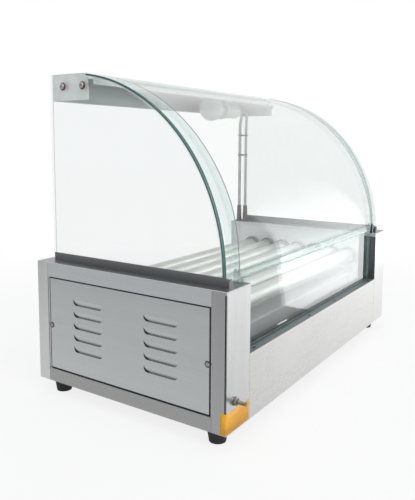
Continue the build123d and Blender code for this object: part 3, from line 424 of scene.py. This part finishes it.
MATERIALS = (
    (brushed, {  # grain axis, colour, roughness, then its spread and the mottling
        "end_steel": ("Y", (0.72, 0.745, 0.75), 0.34),
        "rail_steel": ("Y", (0.51, 0.515, 0.505), 0.33),
        "post_steel": ("Z", (0.85, 0.855, 0.85), 0.30),
        # painted shade: a darker copy of post_steel for the posts' side legs
        "post_side": ("Z", (0.54, 0.555, 0.555), 0.32),
        "front_steel": ("X", (0.87, 0.865, 0.85), 0.28, 0.06, 0.035),
        "cover_steel": ("Y", (0.78, 0.81, 0.83), 0.30, 0.04, 0.03),
        # painted shade: dark grey steel for the covers' tops and the louvres' other walls
        "top_steel": ("Y", (0.30, 0.305, 0.31), 0.34),
        "wall_steel": ("Y", (0.91, 0.92, 0.92), 0.36),
        "pan_steel": ("X", (0.55, 0.56, 0.56), 0.38),
        "tray_steel": ("X", (0.80, 0.815, 0.83), 0.46),
        "roof_steel": ("X", (0.58, 0.60, 0.605), 0.48),
        # painted shade: a dark copy of the posts' steel for their inner flanks
        "jamb_steel": ("Z", (0.22, 0.23, 0.24), 0.34),
        # painted shade: near-black steel for the posts' outer bends, the louvres' shaded +Y ends
        # and the near front corner's gap
        "bend_steel": ("Z", (0.035, 0.035, 0.037), 0.36),
        "dark_channel": ("Y", (0.29, 0.292, 0.296), 0.36),
    }),
    (turned, {  # colour, roughness, frequency of the rings
        "roller_steel": ((0.66, 0.67, 0.655), 0.44, (900.0, 30.0, 30.0)),
        "drive_steel": ((0.42, 0.42, 0.43), 0.34, 500.0),
        "bright_screw": ((0.62, 0.62, 0.62), 0.22, 700.0),
        "dark_screw": ((0.16, 0.16, 0.17), 0.32, 700.0),
        "red_screw": ((0.33, 0.20, 0.19), 0.28, 700.0),
        "stud_brass": ((0.30, 0.29, 0.265), 0.30, 700.0),
        "clip_steel": ((0.14, 0.145, 0.15), 0.34, 400.0),
        "thermostat_metal": ((0.55, 0.54, 0.50), 0.36, 300.0),
        "weld": ((0.50, 0.47, 0.43), 0.42, 900.0),
    }),
    (moulded, {  # colour, roughness, how much paler it wears
        # painted light: a pale, non-metal copy of the roof bar's steel for its end plates
        "roof_end": ((0.86, 0.88, 0.865), 0.30),
        "motor_case": ((0.16, 0.17, 0.18), 0.45),
        "ring_plastic": ((0.17, 0.185, 0.19), 0.42),
        "pale_ceramic": ((0.76, 0.76, 0.73), 0.35),
        "grey_cable": ((0.42, 0.43, 0.44), 0.50),
        "black_rubber": ((0.018, 0.018, 0.019), 0.62, 0.05),
        "black_plastic": ((0.022, 0.022, 0.024), 0.38, 0.04),
        "rocker_plastic": ((0.30, 0.015, 0.012), 0.30, 0.05),
        "white_mark": ((0.80, 0.80, 0.78), 0.5),
        "tie_nylon": ((0.16, 0.17, 0.18), 0.42),
        "strip_line": ((0.30, 0.32, 0.33), 0.35),
        # painted shade: a dark copy of the front panel's steel for its ledge
        "ledge_steel": ((0.115, 0.140, 0.150), 0.42, 0.08),
    }),
    (thin_glass, {  # tint, haze
        "pane": (),
        "edge_strip": ((0.90, 0.94, 0.935), 0.02),
    }),
    (clear_edge, {  # tint, skin, the skin's share
        "edge_bare": ((0.96, 0.98, 0.975), (0.62, 0.68, 0.67), 0.09),
        "edge_line": ((0.80, 0.90, 0.88), (0.40, 0.52, 0.50), 0.55),
        "clear_clip": ((0.86, 0.93, 0.91), (0.58, 0.64, 0.62), 0.26),
    }),
    (side_pane_glass, {"side_pane": ()}),
    (deep_edge, {"edge_dark": ((0.062, 0.150, 0.138), (0.46, 0.63, 0.60))}),
    (rear_edge, {"edge_rear": ((0.965, 0.98, 0.975), (0.40, 0.43, 0.43))}),
    (frosted, {"frosted_bulb": ()}),
    (heat_stained, {"element_sheath": ()}),
    (lens_plastic, {"lamp_lens": ((0.75, 0.10, 0.04),)}),
    (film_plastic, {"corner_film": ((0.88, 0.39, 0.012), (0.93, 0.47, 0.028))}),
)


def make_materials():
    return {name: new_material(name, paint, *values)
            for paint, table in MATERIALS for name, values in table.items()}


# Dressing of the CAD nodes

NODE_MATERIALS = {
    "end_steel": "left_service_panel right_service_panel",
    "rail_steel": "bottom_rails",
    "post_steel": "rear_left_post rear_right_post",
    "front_steel": "control_panel",
    "wall_steel": "left_inner_wall right_inner_wall element_brackets tray_guides",
    "pan_steel": "base_pan",
    "tray_steel": "drip_tray",
    "roller_steel": "roller_1 roller_2 roller_3 roller_4 roller_5 roller_6 roller_7",
    "drive_steel": "sprocket_1 sprocket_2 sprocket_3 sprocket_4 sprocket_5 sprocket_6 sprocket_7 "
                   "motor_sprocket motor_shaft drive_chain",
    "motor_case": "gearmotor",
    "element_sheath": "heating_elements",
    "ring_plastic": "bearing_rings",
    "dark_channel": "glass_channels",
    "frosted_bulb": "lamp_bulb",
    "pale_ceramic": "lamp_holder terminal_block",
    "grey_cable": "lamp_cable",
    "black_rubber": "feet cable_grommet",
    "thermostat_metal": "thermostats",
    "black_plastic": "front_zone_knob rear_zone_knob switch_bodies cord_gland",
    "rocker_plastic": "roller_switch lamp_switch",
    "lamp_lens": "indicator_lamps",
    "stud_brass": "bonding_stud",
}


def dress(m, node, names, choose=None):
    """Give a node its materials, and each polygon the one whose number choose returns for it."""
    mesh = nodes[node].data
    mesh.materials.clear()
    for name in names.split():
        mesh.materials.append(m[name])
    if choose:
        for polygon in mesh.polygons:
            polygon.material_index = choose(polygon)


ALONG = 0.9  # share of a normal that counts as looking along an axis


def looks_along(polygon, axis):
    """Whether a polygon looks along the axis, either way."""
    return abs(getattr(polygon.normal, axis)) > ALONG


def dress_nodes(m):
    for name, members in NODE_MATERIALS.items():
        for node in members.split():
            dress(m, node, name)


def dress_glass(m):
    """Faces of the panes are clear; their edges have other materials."""
    def side_pane(polygon):
        if looks_along(polygon, "x"):
            return 0
        on_arc = polygon.normal.z > -0.5 and polygon.center.y < ROOF_FRONT_Y
        return 1 if on_arc else 2

    def curved_pane(polygon):
        out = Vector((0, polygon.center.y - CURVE_Y, polygon.center.z - CURVE_Z)).normalized()
        if abs(polygon.normal.dot(out)) > ALONG:
            return 0
        return 1 if looks_along(polygon, "x") else 2

    dress(m, "left_side_glass", "side_pane edge_dark edge_rear", side_pane)
    dress(m, "right_side_glass", "side_pane edge_bare edge_rear", side_pane)
    dress(m, "curved_glass", "pane edge_bare edge_line", curved_pane)
    dress(m, "lower_front_glass", "pane edge_line",
          lambda polygon: int(not looks_along(polygon, "y")))


def dress_steel(m):
    """Inner flanks, bends, side legs, tops and the ledge get darker copies of their sheets' steel
    as painted shade, and the roof bar's end plates a paler one as painted light.
    """
    post_outer_x, bend_start_x = 0.2895, 0.288
    skirt_top, ledge_foot = 0.18, 0.08

    def post(polygon):
        """0 the face, 1 the inner flank, 2 the outer bend, 3 the side leg."""
        side = abs(polygon.center.x)
        across, along = abs(polygon.normal.x), abs(polygon.normal.y)
        if looks_along(polygon, "x"):
            if side < POST_INNER_X + 0.001:
                return 1
            return 3 if side > post_outer_x else 0
        return 2 if along < 0.98 and across > 0.15 and side > bend_start_x else 0

    def ledge(polygon):
        return int(polygon.normal.z > 0.25 and polygon.center.z > ledge_foot)

    def cover(polygon):
        return int(polygon.normal.z > ALONG and polygon.center.z > skirt_top)

    for end in ("left", "right"):
        # Cover tops, and the posts' inner flanks, outer bends and side legs, get painted shade
        dress(m, end + "_top_cover", "cover_steel top_steel", cover)
        dress(m, "front_" + end + "_post", "post_steel jamb_steel bend_steel post_side", post)
    # The roof bar's end plates get painted light
    dress(m, "roof_bar", "roof_steel roof_end", lambda polygon: int(looks_along(polygon, "x")))
    # The front panel's ledge gets painted shade
    dress(m, "front_panel", "front_steel ledge_steel", ledge)
    dress(m, "glass_clips", "clear_clip clip_steel", lambda polygon: int(polygon.center.x > 0))


# Tools for the added pieces

def make_piece(name, bm, materials, body, smooth=40.0):
    """Object of a mesh that rides on a body, smooth up to an angle, or flat with None."""
    mesh = to_mesh(name, bm)
    if smooth is not None:
        mesh.shade_smooth()
        mesh.set_sharp_from_angle(angle=math.radians(smooth))
    for material in materials:
        mesh.materials.append(material)
    piece = bpy.data.objects.new(name, mesh)
    scene.collection.objects.link(piece)
    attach(piece, body)
    return piece


def to_mesh(name, bm):
    mesh = bpy.data.meshes.new(name)
    bm.to_mesh(mesh)
    bm.free()
    return mesh


def thicken(piece, thickness, offset):
    solidify = piece.modifiers.new("thickness", "SOLIDIFY")
    solidify.thickness = thickness
    solidify.offset = offset


def lathe(profile, steps=24):
    """Mesh turned about +Z from (radius, height) points; points on the axis close it."""
    bm = bmesh.new()
    angles = [2 * math.pi * i / steps for i in range(steps)]
    rings = []
    for r, h in profile:
        if r == 0:
            rings.append([bm.verts.new((0, 0, h))])
        else:
            rings.append([bm.verts.new((r * math.cos(a), r * math.sin(a), h)) for a in angles])
    for a, b in zip(rings, rings[1:]):
        for i in range(steps):
            j = (i + 1) % steps
            if len(a) == 1:
                bm.faces.new((a[0], b[i], b[j]))
            elif len(b) == 1:
                bm.faces.new((a[i], b[0], a[j]))
            else:
                bm.faces.new((a[i], b[i], b[j], a[j]))
    bmesh.ops.recalc_face_normals(bm, faces=bm.faces)
    return bm


def add_box(bm, low, high):
    """Box between two opposite corners."""
    size = Vector(high) - Vector(low)
    middle = (Vector(high) + Vector(low)) / 2
    for v in bmesh.ops.create_cube(bm, size=1.0)["verts"]:
        v.co = v.co * size + middle


def cut_away(body, tool):
    """The first mesh less the second."""
    pair = [bpy.data.objects.new(mesh.name, mesh) for mesh in (body, tool)]
    for item in pair:
        scene.collection.objects.link(item)
    cut = pair[0].modifiers.new("cut", "BOOLEAN")
    cut.operation = "DIFFERENCE"
    cut.object = pair[1]
    cut.use_self = True
    graph = bpy.context.evaluated_depsgraph_get()
    shape = bpy.data.meshes.new_from_object(pair[0].evaluated_get(graph))
    for item in pair:
        bpy.data.objects.remove(item)
    return shape


PAN_HEAD = ((1, 0), (1, 0.35), (0.86, 0.75), (0.55, 0.95), (0, 1))  # shares of radius and height
CROSS_REACH, CROSS_WIDTH = 0.62, 0.17  # half the arms' length and width, as shares of the radius
TINY_HEAD = (0.0001, 0.0001, 0.00001)  # where only the washers show; the real head hides it


def screw_mesh(radius, height, recess, washers=()):
    """Pan head with a cross recess, on a stack of washers given as (radius, thickness)."""
    base = sum(thickness for _, thickness in washers)
    head = lathe([(0, base)] + [(r * radius, base + h * height) for r, h in PAN_HEAD])
    reach, width = CROSS_REACH * radius, CROSS_WIDTH * radius
    top = base + height
    cross = bmesh.new()
    for x, y in ((reach, width), (width, reach)):
        add_box(cross, (-x, -y, top - recess), (x, y, top + height))
    out = bmesh.new()
    out.from_mesh(cut_away(to_mesh("head", head), to_mesh("cross", cross)))
    foot, chamfer = 0.0, 0.0001
    for r, t in washers:
        ring = lathe([(0, foot), (r - chamfer, foot), (r, foot + 0.2 * t), (r, foot + 0.8 * t),
                      (r - chamfer, foot + t), (0, foot + t)])
        out.from_mesh(to_mesh("washer", ring))
        foot += t
    return to_mesh("screw", out)


def placed(mesh, places, axes):
    """A copy of the mesh at each place, its own +Z turned to the axis there, each spun further."""
    bm = bmesh.new()
    for i, (place, axis) in enumerate(zip(places, axes)):
        start = len(bm.verts)
        bm.from_mesh(mesh)
        bm.verts.ensure_lookup_table()
        turn = Vector(axis).to_track_quat("Z", "Y").to_matrix().to_4x4()
        move = Matrix.Translation(place) @ turn @ Matrix.Rotation(0.9 * i, 4, "Z")
        bmesh.ops.transform(bm, matrix=move, verts=bm.verts[start:])
    return bm


def tube(name, points, radius):
    """Round mesh tube along a smooth line through the run of points."""
    curve = bpy.data.curves.new(name, "CURVE")
    curve.dimensions = "3D"
    spline = curve.splines.new("NURBS")
    spline.points.add(len(points) - 1)
    for point, place in zip(spline.points, points):
        point.co = (*place, 1.0)
    spline.order_u = 3
    spline.use_endpoint_u = True
    curve.resolution_u = 8
    curve.bevel_depth = radius
    curve.bevel_resolution = 4
    curve.use_fill_caps = True
    run = bpy.data.objects.new(name, curve)
    bm = bmesh.new()
    bm.from_mesh(bpy.data.meshes.new_from_object(run))
    bpy.data.objects.remove(run)
    return bm


# Added pieces

def add_screws(m):
    """Screws with washers on both ends of the hood, screws on the end panels each on a thin dark
    washer that paints the shadow round its head, and plain ones along the front ledge."""
    # Name, head, washers and their steel, how far the head is lifted off the sheet, X, Ys, Z
    sets = (("hood", (0.0038, 0.0018, 0.0010), ((0.0056, 0.0009), (0.0046, 0.0011)), "red_screw",
             0.0019, 0.269, (0.121, 0.084), 0.431),
            # on the end panels the thin dark washer is painted shadow round each head
            ("panel", (0.0024, 0.0007, 0.0005), ((0.0042, 0.0002),), "dark_screw",
             0.0002, 0.2890, (-0.131, 0.131), 0.101))
    for name, head, washers, washer_steel, lift, far_x, ys, z in sets:
        places = [(sign * far_x, y, z) for sign in (-1, 1) for y in ys]
        axes = [(math.copysign(1, x), 0, 0) for x, _, _ in places]
        stack = screw_mesh(*TINY_HEAD, washers=washers)
        make_piece(name + "_washers_and_shade", placed(stack, places, axes), [m[washer_steel]], "machine")
        heads = [(x + math.copysign(lift, x), y, z) for x, y, z in places]
        make_piece(name + "_screws", placed(screw_mesh(*head), heads, axes), [m["bright_screw"]],
                   "machine")
    ledge_y, ledge_z = -0.1522, 0.1035
    places = [(x, ledge_y, ledge_z) for x in (-0.215, -0.049, 0.049, 0.215)]
    heads = placed(screw_mesh(0.0028, 0.0012, 0.0008), places, [(0, 0, 1)] * len(places))
    make_piece("ledge_screws", heads, [m["dark_screw"]], "machine")


LOUVRE_HALF, LOUVRE_TALL, LOUVRE_DEEP = 0.0265, 0.0080, 0.0021
LOUVRE_Y, LOUVRE_PITCH, LOUVRE_ROWS = 0.0615, 0.0164, 5
PANEL_GAP = 0.0013


def louvre_outline():
    """Points (y, z) round one louvre: short upright sides, then rounded lower corners."""
    corner, upright = 0.0062, 0.0012
    half = [(LOUVRE_HALF, LOUVRE_TALL), (LOUVRE_HALF, LOUVRE_TALL - upright)]
    for i in range(7):
        a = math.radians(90 * i / 6)
        half.append((LOUVRE_HALF - corner + corner * math.cos(a), corner - corner * math.sin(a)))
    return half + [(-y, z) for y, z in reversed(half)]


def pressed_panel(low, high, face, sign):
    """Flat sheet with two columns of louvres, each pressed in deepest along its lower edge."""
    outline = louvre_outline()
    count = len(outline)
    middle = (low[2] + high[2]) / 2 - 0.001
    near_y, far_y, foot, top = (low[1] + PANEL_GAP, high[1] - PANEL_GAP, low[2] + PANEL_GAP,
                                high[2] - PANEL_GAP)
    loops = [[(near_y, foot), (far_y, foot), (far_y, top), (near_y, top)]]
    for y in (-LOUVRE_Y, LOUVRE_Y):
        for row in range(LOUVRE_ROWS):
            z = middle + (row - LOUVRE_ROWS // 2) * LOUVRE_PITCH
            loops.append([(y + a, z + b) for a, b in outline])
    bm = bmesh.new()
    flat = [bm.verts.new((face, y, z)) for loop in loops for y, z in loop]
    for triple in tessellate_polygon([[Vector((y, z, 0)) for y, z in loop] for loop in loops]):
        bm.faces.new([flat[i] for i in triple])
    start = len(loops[0])
    for loop in loops[1:]:
        rim = flat[start:start + count]
        lowest = min(z for y, z in loop)
        floor = []
        for y, z in loop:
            depth = LOUVRE_DEEP * (1 - (z - lowest) / LOUVRE_TALL) + 0.0001
            floor.append(bm.verts.new((face + sign * depth, y, z)))
        bm.faces.new(floor)
        # The louvres' walls are painted shade: near-black towards the +Y end, dark grey on the
        # rest
        shaded_y = sum(y for y, z in loop) / count + 0.018
        for i in range(count - 1):
            wall = bm.faces.new((rim[i], rim[i + 1], floor[i + 1], floor[i]))
            wall.material_index = 1 if loop[i][0] + loop[i + 1][0] > 2 * shaded_y else 2
        bm.faces.new((rim[-1], rim[0], floor[0], floor[-1]))
        start += count
    bmesh.ops.recalc_face_normals(bm, faces=bm.faces)
    if sign * sum(f.normal.x * f.calc_area() for f in bm.faces) > 0:
        bmesh.ops.reverse_faces(bm, faces=bm.faces)
    return bm


def gap_shade_frame(low, high, face, sign):
    """Four flat bars that fill the gap round a panel, a little under its face: painted shade in
    the gap.
    """
    over = 0.0002
    near, far = sorted((face + sign * 0.0002, face + sign * 0.0009))
    bm = bmesh.new()
    for box in (((near, low[1] - over, low[2]), (far, low[1] + PANEL_GAP, high[2])),
                ((near, high[1] - PANEL_GAP, low[2]), (far, high[1] + over, high[2])),
                ((near, low[1], low[2] - over), (far, high[1], low[2] + PANEL_GAP)),
                ((near, low[1], high[2] - PANEL_GAP), (far, high[1], high[2] + over))):
        add_box(bm, *box)
    return bm


def add_end_panels(m):
    """Service panels whose louvres are shallower than in the CAD solids and round at their ends,
    with painted shade on the louvres' walls, each framed by dark bars that paint the shade in the
    gap round it."""
    for end, sign in (("left", 1), ("right", -1)):
        low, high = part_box(end + "_service_panel")
        face = low[0] if sign > 0 else high[0]
        panel = make_piece(end + "_end_panel", pressed_panel(low, high, face, sign),
                           [m["end_steel"], m["bend_steel"], m["top_steel"]], "machine",
                           smooth=None)
        thicken(panel, 0.0009, -1.0)
        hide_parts(end + "_service_panel")
        # Dark bars round the panel: painted shade in its gap
        make_piece(end + "_gap_shade", gap_shade_frame(low, high, face, sign), [m["black_rubber"]],
                   "machine")


def upright_sheet(line, foot, top):
    """Open sheet that stands on a line of (x, y) points."""
    bm = bmesh.new()
    rows = [[bm.verts.new((x, y, z)) for x, y in line] for z in (foot, top)]
    for i in range(len(line) - 1):
        bm.faces.new((rows[0][i], rows[0][i + 1], rows[1][i + 1], rows[1][i]))
    return bm


def add_corner_shade(m):
    """Near-black strip down the near front corner, where the post's side leg meets its face:
    painted shade of the gap there.
    """
    line = [(-0.2900, -0.1548), (-0.29008, -0.1552), (-0.29008, -0.1566), (-0.2896, -0.15708),
            (-0.2891, -0.15708), (-0.2889, -0.1570)]
    make_piece("corner_shade_strip", upright_sheet(line, 0.0472, 0.1860), [m["bend_steel"]], "machine",
               smooth=60.0)


def add_film(m):
    """Blank film round the near front corner at the bottom."""
    out, bend, bend_x, bend_y = 0.00012, 0.0005, -0.2895, -0.1565
    line = [(-HALF_LENGTH - out, -0.1490)]
    for i in range(7):
        a = math.radians(180 + 15 * i)
        line.append((bend_x + (bend + out) * math.cos(a), bend_y + (bend + out) * math.sin(a)))
    line.append((-0.2376, -HALF_DEPTH - out))
    film = make_piece("corner_film", upright_sheet(line, 0.0212, 0.0470), [m["corner_film"]],
                      "machine", smooth=60.0)
    thicken(film, 0.0001, 0.0)


def add_bulb(m):
    """Opal bulb in place of its coned solid: globe, shoulder and neck on the lamp's axis."""
    centre, radius = 0.088, 0.0225
    shoulder, mouth, end = 0.10477, 0.118, 0.126
    wide, narrow = 0.0150, 0.0125
    axis_y, axis_z = 0.113, 0.419
    stop = math.acos((shoulder - centre) / radius)
    profile = [(0, -radius)]
    for i in range(1, 19):
        a = math.pi - (math.pi - stop) * i / 18
        profile.append((radius * math.sin(a), radius * math.cos(a)))
    for i in range(1, 7):
        t = i / 6
        ease = wide + (narrow - wide) * (1 - (1 - t) ** 2)
        profile.append((ease, shoulder - centre + (mouth - shoulder) * t))
    profile += [(narrow, end - centre), (0, end - centre)]
    bm = lathe(profile, steps=40)
    turn = Matrix.Translation((centre, axis_y, axis_z)) @ Matrix.Rotation(math.radians(90), 4, "Y")
    bmesh.ops.transform(bm, matrix=turn, verts=bm.verts)
    bulb = make_piece("opal_bulb", bm, [m["frosted_bulb"]], "machine")
    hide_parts("lamp_bulb")


def add_strips(m):
    """Clear strips that close the gap between each side pane and the curved one, with a fine
    inner border. They widen inwards near their lower ends."""
    outer, low, high = 0.2688, 0.2560, 0.2563
    border, widening, steps = 0.0013, 0.0085, 40
    bm = bmesh.new()
    for sign in (-1, 1):
        rows = []
        for i in range(steps + 1):
            t = math.radians(1.0 + 80.0 * i / steps)
            inner = 0.2362 + widening * max(0.0, 1 - t / math.radians(20))
            section = ((outer, low), (outer, high), (inner + border, high), (inner, high),
                       (inner, low), (inner + border, low))
            rows.append([bm.verts.new((sign * x, CURVE_Y - r * math.cos(t),
                                       CURVE_Z + r * math.sin(t))) for x, r in section])
        for a, b in zip(rows, rows[1:]):
            for k in range(6):
                face = bm.faces.new((a[k], a[(k + 1) % 6], b[(k + 1) % 6], b[k]))
                face.material_index = 1 if k in (2, 3, 4) else 0
        for row in (rows[0], rows[-1]):
            bm.faces.new(row)
    bmesh.ops.recalc_face_normals(bm, faces=bm.faces)
    make_piece("edge_strips", bm, [m["edge_strip"], m["strip_line"]], "machine")


def add_joint_strip(m):
    """Clear strip over the joint between the curved pane and the lower one, with a fine border
    above and below."""
    reach, face, back = 0.2360, -0.1465, -0.1462
    levels = (0.1945, 0.1954, 0.2040, 0.2049)
    section = [(face, z) for z in levels] + [(back, z) for z in reversed(levels)]
    bm = bmesh.new()
    rows = [[bm.verts.new((x, y, z)) for x in (-reach, reach)] for y, z in section]
    for i, row in enumerate(rows):
        other = rows[(i + 1) % len(rows)]
        made = bm.faces.new((row[0], row[1], other[1], other[0]))
        made.material_index = 0 if i in (1, 5) else 1
    for k in (0, 1):
        bm.faces.new([row[k] for row in rows])
    bmesh.ops.recalc_face_normals(bm, faces=bm.faces)
    make_piece("joint_strip", bm, [m["edge_strip"], m["edge_line"]], "machine")


def add_channels(m):
    """Low folded channels under the side panes, with a rounded front end on the outer leg and a
    cap across the front."""
    front, back, sheet, cap, cap_top = -0.148, 0.143, 0.0012, 0.004, 0.0088
    foot = COVER_TOP
    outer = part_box("glass_channels")[1][0]
    inner = 2 * SIDE_PANE_X - outer
    bm = bmesh.new()

    def leg(x, height, radius):
        line = [(front, foot), (back, foot), (back, foot + height)]
        for i in range(9):
            a = math.radians(90 + 90 * i / 8)
            line.append((front + radius + radius * math.cos(a),
                         foot + height - radius + radius * math.sin(a)))
        sides = [[bm.verts.new((x + t, y, z)) for y, z in line] for t in (0.0, sheet)]
        for i in range(len(line)):
            j = (i + 1) % len(line)
            bm.faces.new((sides[0][i], sides[0][j], sides[1][j], sides[1][i]))
        for side in sides:
            bm.faces.new(side)

    for sign in (-1, 1):
        start = len(bm.verts)
        leg(outer - sheet, 0.0105, 0.0065)
        leg(inner, 0.0085, 0.002)
        add_box(bm, (inner + sheet, front, foot), (outer - sheet, back, foot + sheet))
        add_box(bm, (inner + sheet, front, foot + sheet),
                (outer - sheet, front + cap, foot + cap_top))
        if sign < 0:
            bm.verts.ensure_lookup_table()
            bmesh.ops.scale(bm, vec=(-1, 1, 1), verts=bm.verts[start:])
    bmesh.ops.recalc_face_normals(bm, faces=bm.faces)
    channels = make_piece("pane_channels", bm, [m["dark_channel"]], "machine",
                          smooth=30.0)
    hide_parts("glass_channels")


def add_second_wire(m):
    """The lamp's other wire beside the CAD cable, its sleeve, and two ties round both wires."""
    x, y, cable_y, foot = 0.2455, 0.1435, 0.129, COVER_TOP
    wire = tube("second_wire", [(0.1672, 0.1172, 0.4165), (0.2040, 0.1190, 0.4165),
                                (0.2340, 0.1320, 0.4130), (0.2440, 0.1425, 0.3990),
                                (x, y, 0.3700), (x, y, 0.3300), (x, y, 0.2600),
                                (x, y, foot + 0.001)], 0.0032)
    make_piece("second_wire", wire, [m["grey_cable"]], "machine")
    profile = ((0, 0), (0.0072, 0), (0.0075, 0.0004), (0.0075, 0.0021), (0.0072, 0.0025),
               (0.0052, 0.0025), (0.0042, 0.034), (0, 0.034))
    sleeve = lathe([(r, foot + h) for r, h in profile])
    bmesh.ops.translate(sleeve, vec=(x, y, 0), verts=sleeve.verts)
    make_piece("second_sleeve", sleeve, [m["black_rubber"]], "machine")
    middle, half = (y + cable_y) / 2, (y - cable_y) / 2
    steps, rise, near, far = 32, 0.0013, 0.0033, 0.0040
    knot_near, knot_far, knot_half, knot_rise = 0.0036, 0.0062, 0.0022, 0.0020
    ties = bmesh.new()
    for z in (0.331, 0.372):
        loops = []
        for r, h in ((near, -rise), (far, -rise), (far, rise), (near, rise)):
            loop = []
            for i in range(steps):
                a = 2 * math.pi * (i + 0.5) / steps
                shift = half if math.sin(a) > 0 else -half
                loop.append(ties.verts.new((x + r * math.cos(a),
                                            middle + shift + r * math.sin(a), z + h)))
            loops.append(loop)
        for a, b in zip(loops, loops[1:] + loops[:1]):
            for i in range(steps):
                j = (i + 1) % steps
                ties.faces.new((a[i], a[j], b[j], b[i]))
        add_box(ties, (x - knot_far, middle - knot_half, z - knot_rise),
                (x - knot_near, middle + knot_half, z + knot_rise))
    bmesh.ops.recalc_face_normals(ties, faces=ties.faces)
    make_piece("cable_ties", ties, [m["tie_nylon"]], "machine")


def add_welds(m):
    """Small uneven weld beads where the covers meet the posts."""
    spots = random.Random(4)
    seam_z, face_y, side_x, face_width, side_width = 0.1889, 0.1567, 0.28925, 0.054, 0.018
    bm = bmesh.new()

    def bead(place, radius):
        made = bmesh.ops.create_icosphere(bm, subdivisions=2, radius=radius)["verts"]
        for v in made:
            flat = Vector((v.co.x, v.co.y, v.co.z * 0.5))
            v.co = flat * spots.uniform(0.85, 1.1) + Vector(place)

    for sx in (-1, 1):
        for sy in (-1, 1):
            for i in range(9):
                x = sx * (POST_INNER_X + face_width * (i + spots.uniform(0.2, 0.8)) / 9)
                bead((x, sy * face_y, seam_z + spots.uniform(-0.0004, 0.0003)),
                     spots.uniform(0.0005, 0.0010))
            for i in range(4):
                y = sy * (0.1375 + side_width * (i + spots.uniform(0.2, 0.8)) / 4)
                bead((sx * side_x, y, seam_z + spots.uniform(-0.0004, 0.0003)),
                     spots.uniform(0.0004, 0.0007))
            for i in range(3):
                y = sy * (0.1368 + spots.uniform(-0.0006, 0.0006))
                bead((sx * 0.2892, y, 0.1712 + 0.0014 * i), spots.uniform(0.0005, 0.0008))
    make_piece("weld_beads", bm, [m["weld"]], "machine")


def add_control_marks(m):
    """Tick marks round each knob and a pointer line on it."""
    knob_x, knob_z, ring, panel_y = 0.110, 0.053, 0.0215, HALF_DEPTH
    ticks = bmesh.new()
    for x in (-knob_x, knob_x):
        for i in range(11):
            turn = math.radians(135 - 27 * i)
            outer = 0.0265 if i % 5 == 0 else 0.0245
            start = len(ticks.verts)
            add_box(ticks, (-0.0004, -0.00005, ring), (0.0004, 0.00012, outer))
            ticks.verts.ensure_lookup_table()
            move = Matrix.Translation((x, panel_y, knob_z)) @ Matrix.Rotation(turn, 4, "Y")
            bmesh.ops.transform(ticks, matrix=move, verts=ticks.verts[start:])
    make_piece("dial_marks", ticks, [m["black_plastic"]], "machine")
    for zone, x in (("front", -knob_x), ("rear", knob_x)):
        line = bmesh.new()
        add_box(line, (x - 0.0006, 0.1728, knob_z + 0.004), (x + 0.0006, 0.17305, knob_z + 0.0140))
        bmesh.ops.bevel(line, geom=line.edges, offset=0.0001, segments=1)
        make_piece(zone + "_knob_line", line, [m["white_mark"]], zone + "_zone_control")


def build():
    add_camera()
    add_world()
    add_floor()
    key = add_area("key", (-1.1, -2.0, 1.9), MIDDLE, 2.6, 2.0, 27.0)
    add_area("top", (0.2, 0.2, 2.4), MIDDLE, 2.6, 2.6, 13.0)
    right = add_area("right", (2.3, -0.95, 0.8), MIDDLE, 1.6, 1.4, 15.0)
    m = make_materials()
    dress_nodes(m)
    dress_glass(m)
    dress_steel(m)
    for add in (add_screws, add_end_panels, add_corner_shade, add_film, add_bulb, add_strips,
                add_joint_strip, add_channels, add_second_wire, add_welds, add_control_marks):
        add(m)
    for lamp in (key, right):  # their reflections would have hard edges in the curved pane
        lights_only(lamp, FRONT_PANES, "EXCLUDE")
    add_pane_light()
    add_low_light()
    scene.view_settings.view_transform = "Standard"


build()
